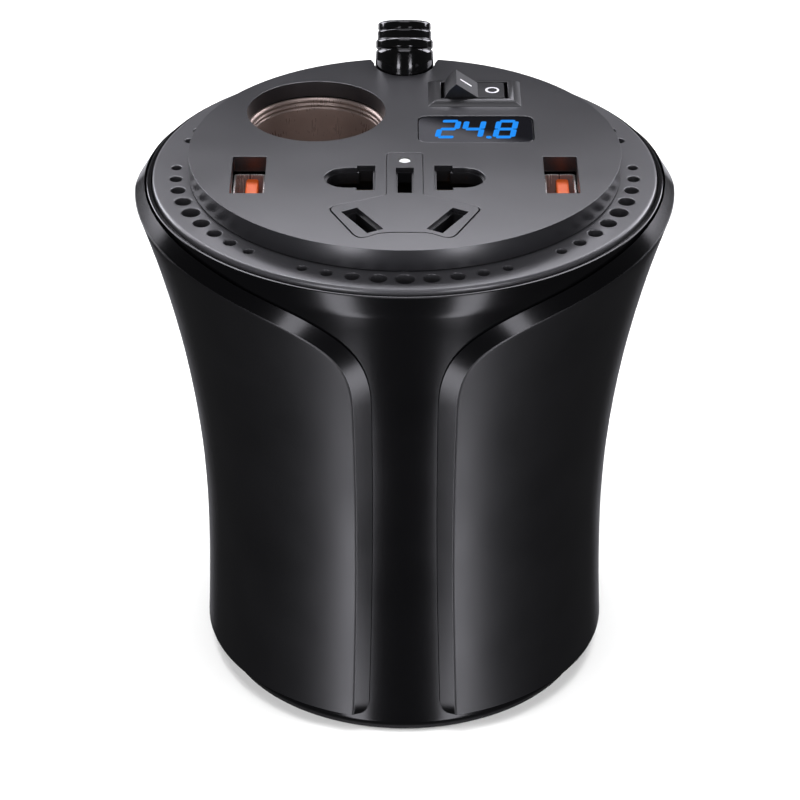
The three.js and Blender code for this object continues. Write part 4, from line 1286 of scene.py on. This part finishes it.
@dataclass
class RockerSwitch(Part):
    """The rocker switch: a bezel with sloping sides and a flat lip, and the rocker with its marks."""

    deck: Deck
    x: float = 13.0
    y: float = 22.95
    bezel: Point = (17.4, 10.9)
    lip: Point = (14.6, 8.6)
    opening: Point = (12.4, 7.0)
    rise: float = 0.9
    body: Point = (14.0, 8.3)
    body_bottom: float = 91.5
    cavity_bottom: float = 94.0
    pivot: float = 101.25
    half_length: float = 4.65
    valley: float = 2.2
    tilt: float = 17.0
    half_width: float = 3.25
    pin: float = 0.9
    pin_play: float = 0.12
    pin_length: float = 0.75  # beyond the rocker's sides
    terminal_slot: Point = (1.4, 5.2)
    terminal_offset: float = 4.0
    wing_end: float = -18.0  # degrees: how far round the wings' outer ends are drawn
    belly: Point = (3.0, -3.0)  # the rocker's lowest corner
    printed: Point = (-0.1, 0.03)  # how far a mark reaches into the wing, and stands out of it

    def plate_tool(self) -> Piece:
        """The tool that opens the plate for the switch."""
        outline = rectangle(self.x, self.y, self.lip[0] - 0.2, self.lip[1])
        return self.deck.mouth("switch_mouth", outline)

    def build_housing(self) -> Piece:
        """The housing: its body below the plate, and the bezel that is drawn in to the lip."""
        top, rise = self.deck.plate_top, self.rise
        housing = Bench.trace("switch_bezel", [place(*p, top) for p in self.closed(self.bezel)])
        bpy.ops.mesh.edge_face_add()
        Bench.push((0, 0, rise * MM))
        shrink = (self.lip[0] / self.bezel[0], self.lip[1] / self.bezel[1], 1)
        centre = place(self.x, self.y, top + rise)
        bpy.ops.transform.resize(value=shrink, center_override=centre)
        Bench.close()
        body = Bench.slab("body", rectangle(self.x, self.y, *self.body), self.body_bottom, top + 0.2)
        Bench.carve(housing, [body], "UNION")
        cavity = Bench.slab("cavity", rectangle(self.x, self.y, *self.opening), self.cavity_bottom, top + 2)
        Bench.carve(housing, [cavity])
        pins = [self.pivot_pin(self.pin + self.pin_play, 6)]
        low, high = self.body_bottom - SPARE, self.cavity_bottom + SPARE
        slots = []
        for side in (-1, 1):
            outline = rectangle(self.x + side * self.terminal_offset, self.y, *self.terminal_slot)
            slots.append(Bench.slab("slot", outline, low, high))
        Bench.carve(housing, pins)
        Bench.carve(housing, slots)
        Bench.soften(housing, above(top - SLACK), 0.14, 3)
        Bench.smooth(housing)
        return housing

    def closed(self, size: Point) -> list[Point]:
        """A rectangle round the switch's middle that ends where it starts."""
        outline = rectangle(self.x, self.y, *size)
        return [*outline, outline[0]]

    def lay(self, slope: float, offset: float = 0.0) -> Matrix:
        """The move that lays a shape drawn flat at the origin onto the rocker, turned about its pivot."""
        turn = Matrix.Rotation(math.radians(slope), 4, "Y")
        lift = Matrix.Translation((0, 0, offset * MM))
        return Matrix.Translation(place(self.x, self.y, self.pivot)) @ turn @ lift

    def pivot_pin(self, radius: float, half_length: float) -> Piece:
        """A cylinder along the rocker's axis, as a tool or a stub."""
        pin = Bench.disc("pin", (0, 0), radius, -half_length - FOOT_HEIGHT, half_length - FOOT_HEIGHT, 32)
        spot = Matrix.Translation(place(self.x, self.y, self.pivot)) @ Matrix.Rotation(math.pi / 2, 4, "X")
        made = Bench.copy(pin, "pin", spot)
        bpy.data.objects.remove(pin)
        return made

    def build_rocker(self) -> Piece:
        """The rocker at rest, with its right wing pressed in."""
        tilt = math.radians(self.tilt)
        height = self.valley + self.half_length * math.tan(tilt)
        radius = math.hypot(self.half_length, height)
        angle = math.degrees(math.atan2(height, self.half_length))
        right = arc(0, 0, radius, angle, self.wing_end, 12)
        left = [(-x, z) for x, z in reversed(right)]
        x, z = self.belly
        outline = [(0, self.valley), *right, (x, z), (-x, z), *left]
        flat = Bench.slab("flat", outline, -self.half_width - FOOT_HEIGHT, self.half_width - FOOT_HEIGHT)
        upright = self.lay(self.tilt) @ Matrix.Rotation(math.pi / 2, 4, "X")
        rocker = Bench.copy(flat, "rocker_cap", upright)
        bpy.data.objects.remove(flat)
        Bench.soften(rocker, above(self.pivot + 1.4), 0.4, 4)
        Bench.carve(rocker, [self.pivot_pin(self.pin, self.half_width + self.pin_length)], "UNION")
        Bench.smooth(rocker)
        return rocker

    def mark(self, name: str, outlines: Sequence[Sequence[Point]], wing: int) -> Piece:
        """A printed mark on one wing.

        Args:
            name: The mark's name.
            outlines: Its outer outline, and an inner one where it is hollow, about the wing's middle.
            wing: -1 for the raised left wing, 1 for the pressed right one.

        Returns:
            The mark, lying on the wing.
        """
        low, high = (height - FOOT_HEIGHT for height in self.printed)
        flat = Bench.slab(name, outlines[0], low, high)
        if len(outlines) > 1:
            Bench.carve(flat, [Bench.slab("hollow", outlines[1], low - SPARE, high + SPARE)])
        middle = self.half_length / 2 + 0.25
        height = self.valley + middle * math.tan(math.radians(self.tilt))
        on_wing = Matrix.Translation(Vector((wing * middle, 0, height)) * MM)
        slope = Matrix.Rotation(math.radians(-wing * self.tilt), 4, "Y")
        made = Bench.copy(flat, name, self.lay(self.tilt) @ on_wing @ slope)
        bpy.data.objects.remove(flat)
        made.name = name
        return made

    def build(self) -> None:
        """Builds the housing, the rocker and the marks."""
        self.hand_over(self.build_housing(), Finish.switch_plastic, "switch_housing")
        self.hand_over(self.build_rocker(), Finish.switch_plastic, "switch_rocker", body=ROCKER)
        stroke = self.mark("mark_on", [rectangle(0, 0, 2.5, 0.5, 0.1)], -1)
        self.hand_over(stroke, Finish.printed_white, body=ROCKER)
        ring = [arc(0, 0, radius, 0, 345, 23) for radius in (1.3, 0.9)]
        self.hand_over(self.mark("mark_off", ring, 1), Finish.printed_white, body=ROCKER)


@dataclass
class CableBoot(Part):
    """The flexible boot that the supply cable leaves by: three bands on a collar, leaning back."""

    base: tuple[float, float] = (37.3, 102.5)  # y and z of its middle at the plate's top
    bore: float = 2.4
    leans: tuple[float, float, float] = (12, 27, 30)  # degrees at the plate, at the first band and at the tip
    sections: tuple[Corner, ...] = (
        (6.2, -9, 0), (6.2, -6.9, 0.1), (5, -6.6, 0.1), (5, -3.6, 0.2), (5.5, -3, 0.3), (5.5, 0.2, 0.3),
        (5.4, 2.1, 0.3), (5.05, 2.4, 0.08), (5.4, 2.7, 0.2), (5.4, 4.0, 0.25), (5.05, 4.3, 0.1),
        (5.1, 5.75, 0.2), (4.8, 5.95, 0.06), (5.0, 6.15, 0.1), (5.0, 7.3, 0.25), (4.4, 7.6, 0.2),
        (2.4, 7.6, 0.1), (2.4, -9, 0),
    )
    bend_from: float = 2.4
    tip: float = 7.6

    def lean(self, along: float) -> float:
        """The boot's lean in radians at a distance along it."""
        base, band, tip = self.leans
        if along <= 0:
            return math.radians(base)
        if along < self.bend_from:
            return math.radians(base + (band - base) * along / self.bend_from)
        return math.radians(band + (tip - band) * (along - self.bend_from) / (self.tip - self.bend_from))

    def middle(self, along: float) -> Vector:
        """The boot's middle line, in metres, at a distance along it."""
        y, z = self.base
        count = 40
        step = along / count
        for index in range(count):
            slope = self.lean(step * (index + 0.5))
            y, z = y + step * math.sin(slope), z + step * math.cos(slope)
        return place(0, y, z)

    def build(self) -> None:
        """Turns the boot upright, and then leans each of its rings back."""
        profile = rounded(self.sections)
        boot = Bench.lathe("cable_gland", [*profile, profile[0]], 64)
        for vertex in boot.data.vertices:
            along = vertex.co.z / MM - FOOT_HEIGHT
            slope = self.lean(along)
            across, back = vertex.co.x, vertex.co.y
            vertex.co = self.middle(along) + Vector((across, back * math.cos(slope), -back * math.sin(slope)))
        Bench.smooth(boot, 50)
        self.hand_over(boot, Finish.boot_rubber, "cable_boot")


class InnerWorks(Part):
    """The pieces that keep their CAD shape: the base, the contacts, the fan and the electronics."""

    finishes = {
        Finish.dark_plastic: (
            "base_cover", "mains_carrier", "meter_module", "lighter_housing", "lighter_insulator",
            "transformer_base", "power_transistor_", "fan_frame", "fan_rotor",
        ),
        Finish.screw_steel: ("base_screw_", "plate_screw_", "board_screw_"),
        Finish.contact_brass: ("mains_contact_", "slant_contact_", "switch_terminal_", "lighter_contact"),
        Finish.board_green: ("usb_board_", "meter_board", "main_board", "driver_board"),
        Finish.ferrite: ("transformer_core",),
        Finish.winding_tape: ("transformer_winding",),
        Finish.capacitor_sleeve: ("capacitor_",),
        Finish.fuse_red: ("blade_fuse",),
        Finish.sink_aluminium: ("heat_sink_",),
        Finish.fan_copper: ("fan_stator",),
    }

    def dress(self, nodes: dict[str, Piece]) -> None:
        """Gives each CAD node that still shows its finish.

        Args:
            nodes: The CAD nodes by name.
        """
        for finish, starts in self.finishes.items():
            for name, node in nodes.items():
                if name.startswith(starts):
                    finish.dress(node)
                    log.info("InnerWorks: %s in %s", name, finish.name)


# ---- Studio -------------------------------------------------------------------------------------
@dataclass(frozen=True)
class Softbox:
    """A soft rectangular lamp, aimed at a point, in metres and watts."""

    name: str
    at: tuple[float, float, float]
    aim: tuple[float, float, float]
    size: tuple[float, float]
    power: float
    on_floor: bool = False

    def build(self, floor: Piece) -> None:
        """Hangs the lamp, which lights either the floor alone or all but the floor."""
        bpy.ops.object.select_all(action="DESELECT")
        bpy.ops.object.light_add(type="AREA", location=self.at)
        lamp = bpy.context.active_object
        lamp.name = self.name
        lamp.rotation_euler = (Vector(self.aim) - Vector(self.at)).to_track_quat("-Z", "Y").to_euler()
        lamp.data.shape = "RECTANGLE"
        lamp.data.size, lamp.data.size_y = self.size
        lamp.data.energy = self.power
        lamp.visible_camera = False
        if not self.on_floor:
            lamp.data.color = COOL_LIGHT
        lit = bpy.data.collections.new(f"lit_by_{self.name}")
        lit.objects.link(floor)
        if not self.on_floor:
            lit.collection_objects[0].light_linking.link_state = "EXCLUDE"
        lamp.light_linking.receiver_collection = lit


def both_sides(name: str, x: float, y: float, z: float, *settings: object, **more: object) -> list[Softbox]:
    """The same lamp to the left and to the right of the inverter."""
    sides = (("left", -x), ("right", x))
    return [Softbox(f"{side}_{name}", (at, y, z), *settings, **more) for side, at in sides]


@dataclass
class Studio:
    """A pale floor, soft lamps and the camera."""

    floor_size: float = 6.0
    look_at: tuple[float, float, float] = (-0.00085, 0.0, 0.0508)
    distance: float = 0.6
    elevation: float = 30.71
    lens: float = 143.0
    surround: float = 0.04  # the strength of the light from all round
    softboxes: tuple[Softbox, ...] = (
        Softbox("floor_light", (0, 0, 1.6), (0, 0, 0), (1.2, 1.2), 38, on_floor=True),
        *both_sides("floor_light", 1.5, -0.3, 0.6, (0, 0, 0), (0.8, 0.8), 34, on_floor=True),
        Softbox("front_floor_light", (0, -1.6, 0.6), (0, 0, 0), (0.8, 0.8), 10, on_floor=True),
        Softbox("top_light", (0, -0.3, 1.0), (0, 0, 0.1), (0.7, 0.7), 3.5),
        Softbox("back_light", (0, 0.113, 0.222), (0, 0, 0.1), (0.3, 0.04), 0.38),
        *both_sides("band", 0.106, -0.212, -0.02, (0, 0, -0.02), (0.05, 0.4), 0.58),
        *both_sides("side_light", 0.35, 0.25, 0.2, (0, 0, 0.09), (0.25, 0.25), 1.6),
        *both_sides("rear_band", 0.106, 0.212, -0.02, (0, 0, -0.02), (0.05, 0.4), 0.06),
    )

    def build(self) -> None:
        """Builds the floor, the lamps and the camera."""
        bpy.ops.object.select_all(action="DESELECT")
        bpy.ops.mesh.primitive_plane_add(size=self.floor_size, location=(0, 0, -0.0002))
        floor = Bench.named("floor")
        Finish.floor_paint.dress(floor)
        floor.visible_glossy = False
        floor.visible_diffuse = False
        floor.visible_shadow = False
        for softbox in self.softboxes:
            softbox.build(floor)
        self.build_camera()
        self.build_world()

    def build_camera(self) -> None:
        """Stands the camera in front, looking down at the middle of the inverter."""
        tilt = math.radians(self.elevation)
        back = Vector((0, -math.cos(tilt), math.sin(tilt))) * self.distance
        bpy.ops.object.camera_add(location=Vector(self.look_at) + back, rotation=(math.pi / 2 - tilt, 0, 0))
        camera = bpy.context.active_object
        camera.data.lens = self.lens
        bpy.context.scene.camera = camera

    def build_world(self) -> None:
        """Sets a dim, even surrounding light, and shows colours as they are."""
        scene = bpy.context.scene
        scene.world = bpy.data.worlds.new("studio")
        scene.world.use_nodes = True
        background = scene.world.node_tree.nodes["Background"]
        background.inputs["Color"].default_value = (1, 1, 1.02, 1)
        background.inputs["Strength"].default_value = self.surround
        scene.view_settings.view_transform = "Standard"


# ---- Assembly -----------------------------------------------------------------------------------
def main() -> None:
    """Builds every sub-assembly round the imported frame, then the studio."""
    logging.basicConfig(level=logging.INFO, format="%(message)s")
    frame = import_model()

    deck = Deck()
    ports = [UsbPort(-1, "left", deck), UsbPort(1, "right", deck)]
    mains = MainsSocket(deck)
    lighter, meter, switch = LighterSocket(deck), Voltmeter(deck), RockerSwitch(deck)
    Housing(Waist()).build()
    tools = [*mains.plate_tools(), *(port.plate_tool() for port in ports)]
    tools += [lighter.plate_tool(), meter.plate_tool(), switch.plate_tool()]
    deck.build(tools)
    mains.build()
    for port in ports:
        port.build()
    for part in (lighter, meter, switch, CableBoot()):
        part.build()
    InnerWorks().dress(frame["nodes"])
    Studio().build()

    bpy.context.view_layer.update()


if __name__ == "__main__":
    main()
